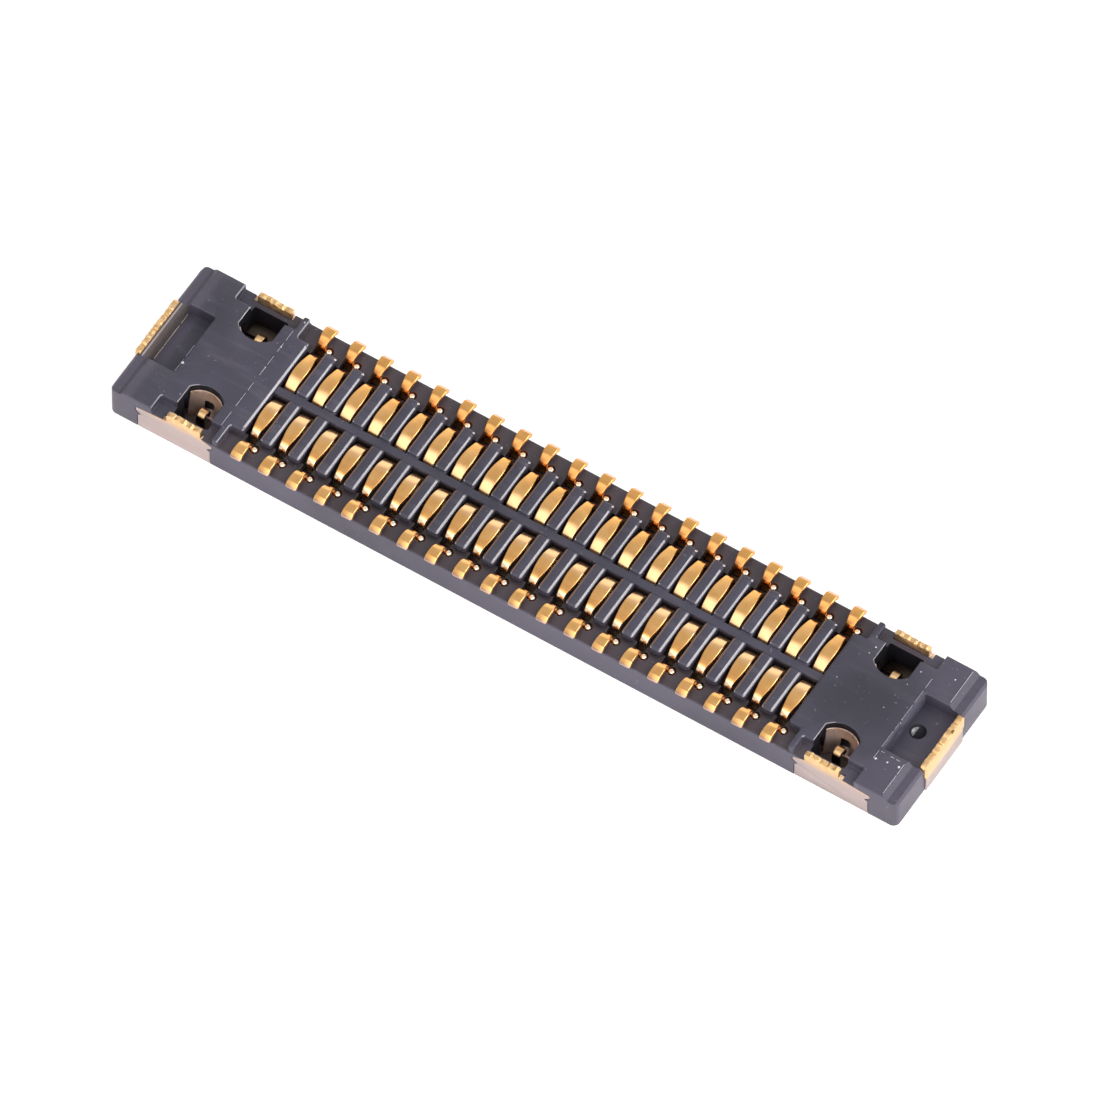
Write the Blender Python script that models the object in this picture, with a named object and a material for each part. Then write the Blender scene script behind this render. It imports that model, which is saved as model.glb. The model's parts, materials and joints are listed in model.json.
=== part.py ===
"""Two-row board to board receptacle with 0.35 mm pitch, solder side up.

The connector lies on its mating rim. X runs along the rows, -Y is the near
row and the origin is at the bottom centre. Distances that are measured from
the centre plane towards either row are called u.
"""

import math

import bmesh
import bpy

MM = 0.001

# Overall body
HOUSING_WIDTH = 1.88 * MM
TOP_HEIGHT = 0.475 * MM
LEDGE_HEIGHT = 0.375 * MM
CORNER_RADIUS = 0.08 * MM
END_BAND_WIDTH = 0.125 * MM
END_STEP_RUN = 0.06 * MM
END_BAND_HEIGHT = 0.42 * MM
END_BAND_CHAMFER = 0.03 * MM
FIT = 0.005 * MM
OVERCUT = 0.05 * MM

# Contact field
PITCH = 0.35 * MM
CONTACTS_PER_ROW = 20
SLOT_WIDTH = 0.21 * MM
SLOT_INNER = 0.047 * MM
BAR_TOP = 0.445 * MM
RIB_INNER = 0.062 * MM
RIB_SEAT = 0.06 * MM
PIT_DEPTH = 0.13 * MM

# Mating side
ROOF_THICKNESS = 0.135 * MM
SIDE_WALL = 0.34 * MM
END_WALL = 0.545 * MM
ISLAND_WIDTH = 0.34 * MM
HEAD_GAP = 0.21 * MM
HEAD_LENGTH = 0.635 * MM
HEAD_GROOVE = 0.10 * MM
END_GROOVE = 0.13 * MM
ISLAND_RECESS = 0.05 * MM

# Top plate at the ends
NOTCH_MARGIN = 0.01 * MM
NOTCH_REACH = 0.21 * MM
POST_GAP = 0.155 * MM
POST_LENGTH = 0.075 * MM
POST_SETBACK = 0.01 * MM

# Arched windows over the groove
WINDOW_OFFSET = 0.36 * MM
WINDOW_WIDTH = 0.43 * MM
ARCH_INSET = 0.125 * MM
WINDOW_RISE = 0.105 * MM
WINDOW_WALL = 0.135 * MM
ARCH_STEPS = 6

# Pockets in the end walls
POCKET_WALL = 0.055 * MM
POCKET_LIP = 0.15 * MM
POCKET_WIDTH = 0.82 * MM
POCKET_DEPTH = 0.18 * MM
DIMPLE_OFFSET = 0.14 * MM
DIMPLE_Y = 0.055 * MM
DIMPLE_RADIUS = 0.095 * MM
DIMPLE_DEPTH = 0.03 * MM
DIMPLE_SIDES = 12

# Contacts
STRIP = 0.05 * MM
TAIL_WIDTH = 0.117 * MM
SPRING_WIDTH = 0.155 * MM
SHOULDER_WIDTH = 0.224 * MM
SHOULDER_TOP = 0.325 * MM
TAIL_TOP = 0.495 * MM
TAIL_OVERHANG = 0.038 * MM
TAIL_CREASE = 0.061 * MM
TAIL_DROP = 0.022 * MM
TAIL_RADIUS = 0.10 * MM
LEG_INSET = 0.2025 * MM
INNER_LEG_SINK = 0.01 * MM
NECK_STEP = 0.009 * MM
BEND_RADIUS = 0.035 * MM
CROWN_TOP = 0.47 * MM
CROWN_OUTER_RADIUS = 0.08 * MM
CROWN_INNER_RADIUS = 0.195 * MM
ARM_GAP = 0.01 * MM
ARM_BEND_Z = 0.22 * MM
BUMP_REACH = 0.11 * MM
BUMP_Z = 0.12 * MM
ARM_END_REACH = 0.08 * MM
ARM_END_Z = 0.065 * MM
RIM_GAP = 0.0175 * MM
SADDLE_GAP = 0.025 * MM
BEND_STEPS = 2
RIM_STEPS = 1
STUB_HEIGHT = 0.03 * MM
STUB_HOLE_RADIUS = 0.052 * MM
STUB_HOLE_SIDES = 6

# End fittings
SHEET = 0.07 * MM
SIDE_GAP = 0.22 * MM
SIDE_OVERLAP = 0.21 * MM
SIDE_SHOULDER_Z = 0.335 * MM
SIDE_BARB = 0.05 * MM
SIDE_BITE = 0.07 * MM
SIDE_STEP = 0.025 * MM
TAB_OFFSET = 0.01 * MM
TAB_WIDTH = 0.43 * MM
TAB_TOP = 0.485 * MM
RIM_PLATE_INSET = 0.15 * MM
RIM_PLATE_BORDER = 0.20 * MM
END_PLATE_WIDTH = 0.79 * MM
END_PLATE_TOP = 0.455 * MM
END_BARB_Z = 0.27 * MM
END_STEP = 0.025 * MM
END_PROUD = 0.02 * MM
GROOVE_MARGIN = 0.045 * MM
TONGUE_FOOT = 0.054 * MM
TONGUE_WIDTH = 0.095 * MM
TONGUE_TOP = 0.25 * MM
TONGUE_SPAN = 0.12 * MM
TONGUE_END_Z = 0.13 * MM
TONGUE_STEPS = 4

# Covers over the island ends
COVER_SHEET = 0.045 * MM
COVER_END_GAP = 0.03 * MM
COVER_SIDE_GAP = 0.01 * MM
COVER_TOP = 0.415 * MM
FLANK_FOOT = 0.015 * MM
COVER_DRAFT = 0.07 * MM
COVER_SLOT_WIDTH = 0.125 * MM
COVER_SLOT_TOP = 0.22 * MM

FIRST_CONTACT = -PITCH * (CONTACTS_PER_ROW - 1) / 2
FIELD_END = -FIRST_CONTACT + SLOT_WIDTH / 2
HEAD_START = FIELD_END + HEAD_GAP
HEAD_END = HEAD_START + HEAD_LENGTH
END_FACE = HEAD_END + END_GROOVE
HALF_LENGTH = END_FACE + END_WALL
HALF_WIDTH = HOUSING_WIDTH / 2
WALL_FACE = HALF_WIDTH - SIDE_WALL
HEAD_FACE = WALL_FACE - HEAD_GROOVE
RIB_END = WALL_FACE + RIB_SEAT
NOTCH_OUTER = END_FACE + NOTCH_MARGIN
POST_INNER = FIELD_END + POST_GAP
POST_OUTER = POST_INNER + POST_LENGTH
WINDOW_CENTRE = HEAD_START + WINDOW_OFFSET
WINDOW_ARCH = HEAD_FACE - ARCH_INSET
WINDOW_OUTER = HALF_WIDTH - WINDOW_WALL
POCKET_INNER = END_FACE + POCKET_WALL
POCKET_OUTER = HALF_LENGTH - POCKET_LIP
DIMPLE_X = POCKET_INNER + DIMPLE_OFFSET
SIDE_START = FIELD_END + SIDE_GAP
SIDE_END = END_FACE + SIDE_OVERLAP
TAB_CENTRE = WINDOW_CENTRE + TAB_OFFSET
RIM_PLATE_END = HALF_LENGTH - RIM_PLATE_BORDER
LEG_U = HALF_WIDTH - LEG_INSET
INNER_LEG_U = WALL_FACE - STRIP / 2 + INNER_LEG_SINK
PIT_OUTER = LEG_U + STRIP / 2 + FIT
PIT_INNER = INNER_LEG_U + STRIP / 2 - FIT
SADDLE_OUTER = LEG_U - STRIP / 2 - FIT
SADDLE_INNER = INNER_LEG_U + STRIP / 2 + FIT
STUB_X = (TAIL_WIDTH / 2 + NECK_STEP + SHOULDER_WIDTH / 2) / 2
TONGUE_U = WALL_FACE + GROOVE_MARGIN - STRIP / 2
END_PLATE_FACE = HALF_LENGTH + END_PROUD

COLOURS = {
    "housing": ((0.055, 0.052, 0.070, 1.0), 0.45, 0.0),
    "contact": ((0.80, 0.53, 0.20, 1.0), 0.28, 1.0),
    "fitting": ((0.76, 0.68, 0.60, 1.0), 0.32, 1.0),
}


def clear_scene():
    for item in list(bpy.data.objects):
        bpy.data.objects.remove(item, do_unlink=True)


def make_material(name):
    colour, roughness, metallic = COLOURS[name]
    material = bpy.data.materials.new(name)
    material.use_nodes = True
    shader = material.node_tree.nodes["Principled BSDF"]
    shader.inputs["Base Color"].default_value = colour
    shader.inputs["Roughness"].default_value = roughness
    shader.inputs["Metallic"].default_value = metallic
    return material


def place(point, axis, level):
    """Put a point of a flat outline, at a level along the axis, into space."""
    first, second = point
    if axis == "X":
        return (level, first, second)
    if axis == "Y":
        return (first, level, second)
    return (first, second, level)


def add_prism(mesh, outline, axis, low, high):
    """Extrude a closed outline along an axis, from low to high."""
    verts = [mesh.verts.new(place(point, axis, low)) for point in outline]
    face = mesh.faces.new(verts)
    extruded = bmesh.ops.extrude_face_region(mesh, geom=[face])
    top = [item for item in extruded["geom"] if isinstance(item, bmesh.types.BMVert)]
    shift = [end - start for start, end in zip(place((0, 0), axis, low), place((0, 0), axis, high))]
    bmesh.ops.translate(mesh, vec=shift, verts=top)


def rectangle(low_a, high_a, low_b, high_b):
    return [(low_a, low_b), (high_a, low_b), (high_a, high_b), (low_a, high_b)]


def arc(centre, radius, start, end, steps):
    """Points on an arc, with both ends, from start to end degrees."""
    points = []
    for step in range(steps + 1):
        angle = math.radians(start + (end - start) * step / steps)
        points.append((centre[0] + radius * math.cos(angle), centre[1] + radius * math.sin(angle)))
    return points


def mirrored(points):
    """The same outline on the other side of the first axis."""
    return [(-first, second) for first, second in points]


def offset_outline(points, distance):
    """Move each side of a closed outline outward by a distance."""
    area = 0.0
    count = len(points)
    for index in range(count):
        ax, ay = points[index]
        bx, by = points[(index + 1) % count]
        area += ax * by - bx * ay
    side = 1.0 if area > 0 else -1.0
    moved = []
    for index in range(count):
        px, py = points[index - 1]
        cx, cy = points[index]
        nx, ny = points[(index + 1) % count]
        before = normal_of(cx - px, cy - py, side)
        after = normal_of(nx - cx, ny - cy, side)
        scale = distance / (1.0 + before[0] * after[0] + before[1] * after[1])
        moved.append((cx + (before[0] + after[0]) * scale, cy + (before[1] + after[1]) * scale))
    return moved


def normal_of(dx, dy, side):
    length = math.hypot(dx, dy)
    return (side * dy / length, -side * dx / length)


def face_outward(mesh):
    """Point every face of a closed mesh out of its body."""
    bmesh.ops.recalc_face_normals(mesh, faces=mesh.faces)
    if mesh.calc_volume(signed=True) < 0.0:
        bmesh.ops.reverse_faces(mesh, faces=mesh.faces)


def new_object(name, mesh, collection):
    face_outward(mesh)
    data = bpy.data.meshes.new(name)
    mesh.to_mesh(data)
    mesh.free()
    item = bpy.data.objects.new(name, data)
    collection.objects.link(item)
    return item


def combine(target, other, operation):
    modifier = target.modifiers.new(operation.lower() + "_" + other.name, "BOOLEAN")
    modifier.operation = operation
    modifier.solver = "EXACT"
    modifier.object = other
    other.hide_render = True
    other.display_type = "WIRE"


def contact_positions():
    return [FIRST_CONTACT + index * PITCH for index in range(CONTACTS_PER_ROW)]


def window_outline(centre):
    """Window over the groove: an arch at the island, straight sides outward."""
    half = WINDOW_WIDTH / 2
    radius = (half * half + WINDOW_RISE * WINDOW_RISE) / (2 * WINDOW_RISE)
    swing = math.degrees(math.asin(half / radius))
    middle = (centre, WINDOW_ARCH + radius)
    points = arc(middle, radius, -90 - swing, -90 + swing, ARCH_STEPS)
    return points + [(centre + half, WINDOW_OUTER), (centre - half, WINDOW_OUTER)]


def side_plate_outline():
    """Outline of a side plate and its solder tab, as (x, z)."""
    tab_low = TAB_CENTRE - TAB_WIDTH / 2
    tab_high = TAB_CENTRE + TAB_WIDTH / 2
    barb_low = SIDE_SHOULDER_Z - SIDE_BARB
    bite_z = barb_low - SIDE_BARB
    foot_z = bite_z - SIDE_STEP
    return [
        (SIDE_START + SIDE_STEP, 0.0),
        (SIDE_END - SIDE_STEP, 0.0),
        (SIDE_END - SIDE_STEP, foot_z),
        (SIDE_END - SIDE_BITE, bite_z),
        (SIDE_END, barb_low),
        (SIDE_END, SIDE_SHOULDER_Z),
        (tab_high, LEDGE_HEIGHT),
        (tab_high, TAB_TOP),
        (tab_low, TAB_TOP),
        (tab_low, LEDGE_HEIGHT),
        (SIDE_START, SIDE_SHOULDER_Z - SIDE_STEP / 2),
        (SIDE_START, barb_low),
        (SIDE_START + SIDE_BITE, bite_z),
        (SIDE_START + SIDE_STEP, foot_z),
    ]


def end_plate_outline():
    """Outline of the plate on the end face, as (y, z)."""
    half = END_PLATE_WIDTH / 2
    step = END_STEP
    return [
        (-half + step, 0.0),
        (half - step, 0.0),
        (half - step, END_BARB_Z - step),
        (half, END_BARB_Z),
        (half, END_PLATE_TOP - step),
        (half - step, END_PLATE_TOP),
        (-half + step, END_PLATE_TOP),
        (-half, END_PLATE_TOP - step),
        (-half, END_BARB_Z),
        (-half + step, END_BARB_Z - step),
    ]


def rim_plate_outline():
    """Outline of the plate that lies on the mating rim, as (x, y)."""
    inner_x = END_FACE + GROOVE_MARGIN
    inner_y = WALL_FACE + GROOVE_MARGIN
    outer_y = HALF_WIDTH - SHEET / 2
    neck_y = HALF_WIDTH - RIM_PLATE_INSET
    tongue_y = END_PLATE_WIDTH / 2 - END_STEP
    outer_x = END_PLATE_FACE - SHEET / 2
    low_x = SIDE_START + SIDE_STEP
    high_x = SIDE_END - SIDE_STEP
    upper = [
        (low_x, inner_y),
        (low_x, outer_y),
        (high_x, outer_y),
        (high_x, neck_y),
        (RIM_PLATE_END, neck_y),
        (RIM_PLATE_END, tongue_y),
        (outer_x, tongue_y),
    ]
    lower = [(x, -y) for x, y in reversed(upper)]
    return upper + lower + [(inner_x, -inner_y), (inner_x, inner_y)]


def cover_outline():
    """Outline of the plate over an island end, as (x, y)."""
    low_x = HEAD_START + COVER_END_GAP
    high_x = HEAD_END - COVER_SIDE_GAP
    half = HEAD_FACE - COVER_SIDE_GAP
    return rectangle(low_x, high_x, -half, half)


def island_outline():
    """Island between the two grooves, with its wide heads, as (x, y)."""
    half = ISLAND_WIDTH / 2
    right = [
        (HEAD_START, -half),
        (HEAD_START, -HEAD_FACE),
        (HEAD_END, -HEAD_FACE),
        (HEAD_END, HEAD_FACE),
        (HEAD_START, HEAD_FACE),
        (HEAD_START, half),
    ]
    return right + [(-x, y) for x, y in reversed(right)]


def outer_outline():
    """Plan of the housing with rounded corners."""
    points = []
    for sign_x, sign_y, start in ((1, 1, 0), (-1, 1, 90), (-1, -1, 180), (1, -1, 270)):
        centre = (sign_x * (HALF_LENGTH - CORNER_RADIUS), sign_y * (HALF_WIDTH - CORNER_RADIUS))
        points += arc(centre, CORNER_RADIUS, start, start + 90, BEND_STEPS)
    return points


def ledge_outline():
    """Part of one long side that is lower than the top plate, as (x, y)."""
    outer = HALF_WIDTH + OVERCUT
    notch = HALF_WIDTH - NOTCH_REACH
    post = HALF_WIDTH - POST_SETBACK
    left = [
        (-NOTCH_OUTER, outer),
        (-NOTCH_OUTER, notch),
        (-POST_OUTER, notch),
        (-POST_OUTER, post),
        (-POST_INNER, post),
        (-POST_INNER, RIB_END),
        (-FIELD_END, RIB_END),
        (-FIELD_END, WALL_FACE),
    ]
    ribs = []
    half = (PITCH - SLOT_WIDTH) / 2
    for x in contact_positions()[:-1]:
        middle = x + PITCH / 2
        ribs += [
            (middle - half, WALL_FACE),
            (middle - half, RIB_END),
            (middle + half, RIB_END),
            (middle + half, WALL_FACE),
        ]
    right = [(-x, y) for x, y in reversed(left)]
    return left + ribs + right


def pit_outline():
    """Clearance of a contact in the side wall, open to the groove, as (u, z)."""
    floor = LEDGE_HEIGHT - PIT_DEPTH
    saddle = RIM_GAP + STRIP + SADDLE_GAP
    top = TOP_HEIGHT + OVERCUT
    return [
        (PIT_INNER, -OVERCUT),
        (PIT_OUTER, -OVERCUT),
        (PIT_OUTER, top),
        (PIT_INNER, top),
        (PIT_INNER, floor),
        (SADDLE_OUTER, floor),
        (SADDLE_OUTER, saddle),
        (PIT_INNER, saddle),
    ]


def on_row(points, sign):
    """Turn (u, z) points into (y, z) points of one row."""
    return [(sign * u, z) for u, z in points]


def cut_housing(housing, cutters):
    """Take every opening, slot and seat out of the housing."""
    top = TOP_HEIGHT + OVERCUT

    def cut(name, mesh):
        combine(housing, new_object(name, mesh, cutters), "DIFFERENCE")

    mesh = bmesh.new()
    for sign in (1, -1):
        outline = [(x, sign * y) for x, y in ledge_outline()]
        add_prism(mesh, outline, "Z", LEDGE_HEIGHT, top)
    cut("cut_ledges", mesh)

    mesh = bmesh.new()
    band = HALF_LENGTH - END_BAND_WIDTH
    outside = HALF_LENGTH + OVERCUT
    run = END_STEP_RUN / (TOP_HEIGHT - END_BAND_HEIGHT)
    slope = [
        (band - run * (top - END_BAND_HEIGHT), top),
        (band, END_BAND_HEIGHT),
        (HALF_LENGTH - END_BAND_CHAMFER, END_BAND_HEIGHT),
        (outside, END_BAND_HEIGHT - END_BAND_CHAMFER - OVERCUT),
        (outside, top),
    ]
    for outline in (slope, mirrored(slope)):
        add_prism(mesh, outline, "Y", -HOUSING_WIDTH, HOUSING_WIDTH)
    cut("cut_end_bands", mesh)

    mesh = bmesh.new()
    half = SLOT_WIDTH / 2
    for sign in (1, -1):
        window = rectangle(SLOT_INNER, SADDLE_INNER, -OVERCUT, top)
        for x in contact_positions():
            add_prism(mesh, on_row(window, sign), "X", x - half, x + half)
    cut("cut_slots", mesh)

    mesh = bmesh.new()
    half = TAIL_WIDTH / 2 + FIT
    for sign in (1, -1):
        for x in contact_positions():
            add_prism(mesh, on_row(pit_outline(), sign), "X", x - half, x + half)
    cut("cut_pits", mesh)

    mesh = bmesh.new()
    half = SHOULDER_WIDTH / 2 + FIT
    for sign in (1, -1):
        seat = rectangle(SADDLE_OUTER, PIT_OUTER, -OVERCUT, SHOULDER_TOP + FIT)
        for x in contact_positions():
            add_prism(mesh, on_row(seat, sign), "X", x - half, x + half)
    cut("cut_shoulders", mesh)

    mesh = bmesh.new()
    for sign in (1, -1):
        for x in contact_positions():
            ring = arc((x + STUB_X, sign * LEG_U), STUB_HOLE_RADIUS, 0, 360, STUB_HOLE_SIDES)
            add_prism(mesh, ring[:-1], "Z", SHOULDER_TOP + FIT, top)
    cut("cut_stub_holes", mesh)

    mesh = bmesh.new()
    ceiling = TOP_HEIGHT - ROOF_THICKNESS
    add_prism(mesh, rectangle(-END_FACE, END_FACE, -WALL_FACE, WALL_FACE), "Z", -OVERCUT, ceiling)
    cavity = new_object("cut_cavity", mesh, cutters)
    mesh = bmesh.new()
    add_prism(mesh, island_outline(), "Z", ISLAND_RECESS, TOP_HEIGHT)
    combine(cavity, new_object("keep_island", mesh, cutters), "DIFFERENCE")
    combine(housing, cavity, "DIFFERENCE")

    mesh = bmesh.new()
    add_prism(mesh, rectangle(-FIELD_END, FIELD_END, -RIB_INNER, RIB_INNER), "Z", BAR_TOP, top)
    cut("cut_bar", mesh)

    mesh = bmesh.new()
    for centre in (-WINDOW_CENTRE, WINDOW_CENTRE):
        for sign in (1, -1):
            outline = [(x, sign * y) for x, y in window_outline(centre)]
            add_prism(mesh, outline, "Z", -OVERCUT, top)
    cut("cut_windows", mesh)

    mesh = bmesh.new()
    half = POCKET_WIDTH / 2
    floor = TOP_HEIGHT - POCKET_DEPTH
    seat_x = END_PLATE_FACE - SHEET - FIT
    left = rectangle(-POCKET_OUTER, -POCKET_INNER, -half, half)
    right = rectangle(POCKET_INNER, seat_x + FIT, -half, half)
    for outline in (left, right):
        add_prism(mesh, outline, "Z", floor, top)
    cut("cut_pockets", mesh)

    mesh = bmesh.new()
    ring = arc((DIMPLE_X, DIMPLE_Y), DIMPLE_RADIUS, 0, 360, DIMPLE_SIDES)
    add_prism(mesh, ring[:-1], "Z", floor - DIMPLE_DEPTH, floor + OVERCUT)
    cut("cut_dimple", mesh)

    mesh = bmesh.new()
    plate = offset_outline(end_plate_outline(), FIT)
    plate = [(y, -OVERCUT if z < 0.0 else z) for y, z in plate]
    add_prism(mesh, plate, "X", seat_x, outside)
    add_prism(mesh, plate, "X", -outside, -seat_x)
    cut("cut_end_plates", mesh)

    mesh = bmesh.new()
    side_seat = HALF_WIDTH - SHEET - FIT
    plate = offset_outline(side_plate_outline(), FIT)
    plate = [(x, -OVERCUT if z < 0.0 else z) for x, z in plate]
    for outline in (plate, mirrored(plate)):
        add_prism(mesh, outline, "Y", side_seat, HALF_WIDTH + OVERCUT)
        add_prism(mesh, outline, "Y", -HALF_WIDTH - OVERCUT, -side_seat)
    cut("cut_side_plates", mesh)

    mesh = bmesh.new()
    plate = offset_outline(rim_plate_outline(), FIT)
    for outline in (plate, mirrored(plate)):
        add_prism(mesh, outline, "Z", -OVERCUT, SHEET + FIT)
    cut("cut_rim_plates", mesh)


def build_housing(parts, cutters, material):
    mesh = bmesh.new()
    add_prism(mesh, outer_outline(), "Z", 0.0, TOP_HEIGHT)
    housing = new_object("housing", mesh, parts)
    housing.data.materials.append(material)
    cut_housing(housing, cutters)


def add_strip(mesh, path, thickness, shift):
    """Loft a flat strip along (u, z, half width) stations, centred on shift."""
    rings = []
    for index, (u, z, half) in enumerate(path):
        before = path[max(index - 1, 0)]
        after = path[min(index + 1, len(path) - 1)]
        start = normal_of(u - before[0], z - before[1], 1.0) if index else None
        end = normal_of(after[0] - u, after[1] - z, 1.0) if index < len(path) - 1 else None
        start = start or end
        end = end or start
        scale = thickness / 2 / (1.0 + start[0] * end[0] + start[1] * end[1])
        du = (start[0] + end[0]) * scale
        dz = (start[1] + end[1]) * scale
        ring = [
            mesh.verts.new((shift - half, u + du, z + dz)),
            mesh.verts.new((shift + half, u + du, z + dz)),
            mesh.verts.new((shift + half, u - du, z - dz)),
            mesh.verts.new((shift - half, u - du, z - dz)),
        ]
        rings.append(ring)
    for first, second in zip(rings, rings[1:]):
        for corner in range(4):
            following = (corner + 1) % 4
            corners = (first[corner], first[following], second[following], second[corner])
            mesh.faces.new(corners)
    mesh.faces.new(rings[0])
    mesh.faces.new(rings[-1])


def widen(points, half):
    return [(u, z, half) for u, z in points]


def contact_path():
    """Stations of a contact from the tail's tip to the end of the spring arm."""
    tail = TAIL_WIDTH / 2
    spring = SPRING_WIDTH / 2
    shoulder = SHOULDER_WIDTH / 2
    foot_z = TAIL_TOP - STRIP / 2
    tip_u = HALF_WIDTH + TAIL_OVERHANG
    rim_z = RIM_GAP + STRIP / 2
    crown_z = CROWN_TOP - STRIP / 2
    arm_u = SLOT_INNER + ARM_GAP + STRIP / 2
    inner_u = INNER_LEG_U

    path = [(tip_u, foot_z - TAIL_DROP, tail), (tip_u - TAIL_CREASE, foot_z, tail)]
    path += widen(arc((LEG_U + TAIL_RADIUS, foot_z - TAIL_RADIUS), TAIL_RADIUS, 90, 180, BEND_STEPS), tail)
    neck = tail + NECK_STEP
    path += [
        (LEG_U, SHOULDER_TOP + FIT, tail),
        (LEG_U, SHOULDER_TOP + FIT / 2, neck),
        (LEG_U, SHOULDER_TOP, shoulder),
        (LEG_U, rim_z + BEND_RADIUS + STRIP, shoulder),
    ]
    path += widen(arc((LEG_U - BEND_RADIUS, rim_z + BEND_RADIUS), BEND_RADIUS, 0, -90, RIM_STEPS), tail)
    path += widen(arc((inner_u + BEND_RADIUS, rim_z + BEND_RADIUS), BEND_RADIUS, -90, -180, RIM_STEPS), tail)
    outer = arc((inner_u - CROWN_OUTER_RADIUS, crown_z - CROWN_OUTER_RADIUS),
                CROWN_OUTER_RADIUS, 0, 90, BEND_STEPS)
    for step, (u, z) in enumerate(outer):
        path.append((u, z, tail + (spring - tail) * step / BEND_STEPS))
    inner = arc((arm_u + CROWN_INNER_RADIUS, crown_z - CROWN_INNER_RADIUS),
                CROWN_INNER_RADIUS, 90, 180, BEND_STEPS)
    path += widen(inner, spring)
    path += [
        (arm_u, ARM_BEND_Z, spring),
        (arm_u + BUMP_REACH, BUMP_Z, tail),
        (arm_u + ARM_END_REACH, ARM_END_Z, tail),
    ]
    return path


def build_contact_mesh(name, sign, material):
    """Mesh of one contact, with a carrier stub on its shoulder."""
    mesh = bmesh.new()
    path = contact_path()
    add_strip(mesh, path, STRIP, 0.0)
    level = [index for index, item in enumerate(path) if item[2] == SHOULDER_WIDTH / 2][0]
    low, high = path[level][1], path[level - 1][1]
    mesh.normal_update()
    for face in list(mesh.faces):
        centre = face.calc_center_median()
        is_ledge = low < centre.z < high and centre.x > TAIL_WIDTH / 2
        if is_ledge and abs(face.normal.z) > abs(face.normal.x):
            grown = bmesh.ops.extrude_discrete_faces(mesh, faces=[face])["faces"]
            for top in grown:
                bmesh.ops.translate(mesh, vec=(0.0, 0.0, STUB_HEIGHT), verts=list(top.verts))
    for vert in mesh.verts:
        vert.co.y *= sign
    face_outward(mesh)
    data = bpy.data.meshes.new(name)
    mesh.to_mesh(data)
    mesh.free()
    data.materials.append(material)
    return data


def build_contacts(parts, material):
    for row, sign in (("near", -1), ("far", 1)):
        data = build_contact_mesh("contact_" + row, sign, material)
        for index, x in enumerate(contact_positions()):
            item = bpy.data.objects.new("contact_%s_%02d" % (row, index + 1), data)
            item.location = (x, 0.0, 0.0)
            parts.objects.link(item)


def tongue_path():
    """Spring tongue of a fitting: up beside the wall, over and down."""
    half = TONGUE_WIDTH / 2
    radius = TONGUE_SPAN / 2
    level = SHEET / 2
    middle = (TONGUE_U - radius, TONGUE_TOP - STRIP / 2 - radius)
    path = [(TONGUE_U + TONGUE_FOOT, level, half)]
    bend = arc((TONGUE_U + BEND_RADIUS, level + BEND_RADIUS), BEND_RADIUS, -90, -180, BEND_STEPS)
    path += widen(bend, half)
    path += widen(arc(middle, radius, 0, 180, TONGUE_STEPS), half)
    path.append((TONGUE_U - TONGUE_SPAN, TONGUE_END_Z, half))
    return path


def build_fitting(name, side, parts, cutters, material):
    """One stamped end fitting: rim plate, end plate, side plates, tongues."""
    mesh = bmesh.new()
    add_prism(mesh, [(side * x, y) for x, y in rim_plate_outline()], "Z", 0.0, SHEET)
    fitting = new_object(name, mesh, parts)
    fitting.data.materials.append(material)

    mesh = bmesh.new()
    levels = sorted((side * END_PLATE_FACE, side * (END_PLATE_FACE - SHEET)))
    add_prism(mesh, end_plate_outline(), "X", levels[0], levels[1])
    combine(fitting, new_object(name + "_end_plate", mesh, cutters), "UNION")

    mesh = bmesh.new()
    outline = [(side * x, z) for x, z in side_plate_outline()]
    add_prism(mesh, outline, "Y", HALF_WIDTH - SHEET, HALF_WIDTH)
    add_prism(mesh, outline, "Y", -HALF_WIDTH, -HALF_WIDTH + SHEET)
    combine(fitting, new_object(name + "_side_plates", mesh, cutters), "UNION")

    mesh = bmesh.new()
    add_strip(mesh, tongue_path(), STRIP, side * WINDOW_CENTRE)
    mirrored_path = [(-u, z, half) for u, z, half in tongue_path()]
    add_strip(mesh, mirrored_path, STRIP, side * WINDOW_CENTRE)
    combine(fitting, new_object(name + "_tongues", mesh, cutters), "UNION")


def add_arched_flank(mesh, centre, sign):
    """Arched flank of an island cover, leaning out towards its foot."""
    half = WINDOW_WIDTH / 2
    radius = (half * half + WINDOW_RISE * WINDOW_RISE) / (2 * WINDOW_RISE)
    outer = radius - FIT
    inner = outer - STRIP
    swing = math.degrees(math.asin((half - FIT) / outer))
    loops = []
    for level, lean in ((FLANK_FOOT, COVER_DRAFT), (COVER_TOP, 0.0)):
        middle = (centre, WINDOW_ARCH + radius + lean)
        points = arc(middle, outer, -90 - swing, -90 + swing, ARCH_STEPS)
        points += arc(middle, inner, -90 + swing, -90 - swing, ARCH_STEPS)
        loops.append([mesh.verts.new((x, sign * y, level)) for x, y in points])
    count = len(loops[0])
    for index in range(count):
        following = (index + 1) % count
        corners = (loops[0][index], loops[0][following], loops[1][following], loops[1][index])
        mesh.faces.new(corners)
    for loop in loops:
        for index in range(count // 2 - 1):
            corners = (loop[index], loop[index + 1], loop[-index - 2], loop[-index - 1])
            mesh.faces.new(corners)


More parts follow.
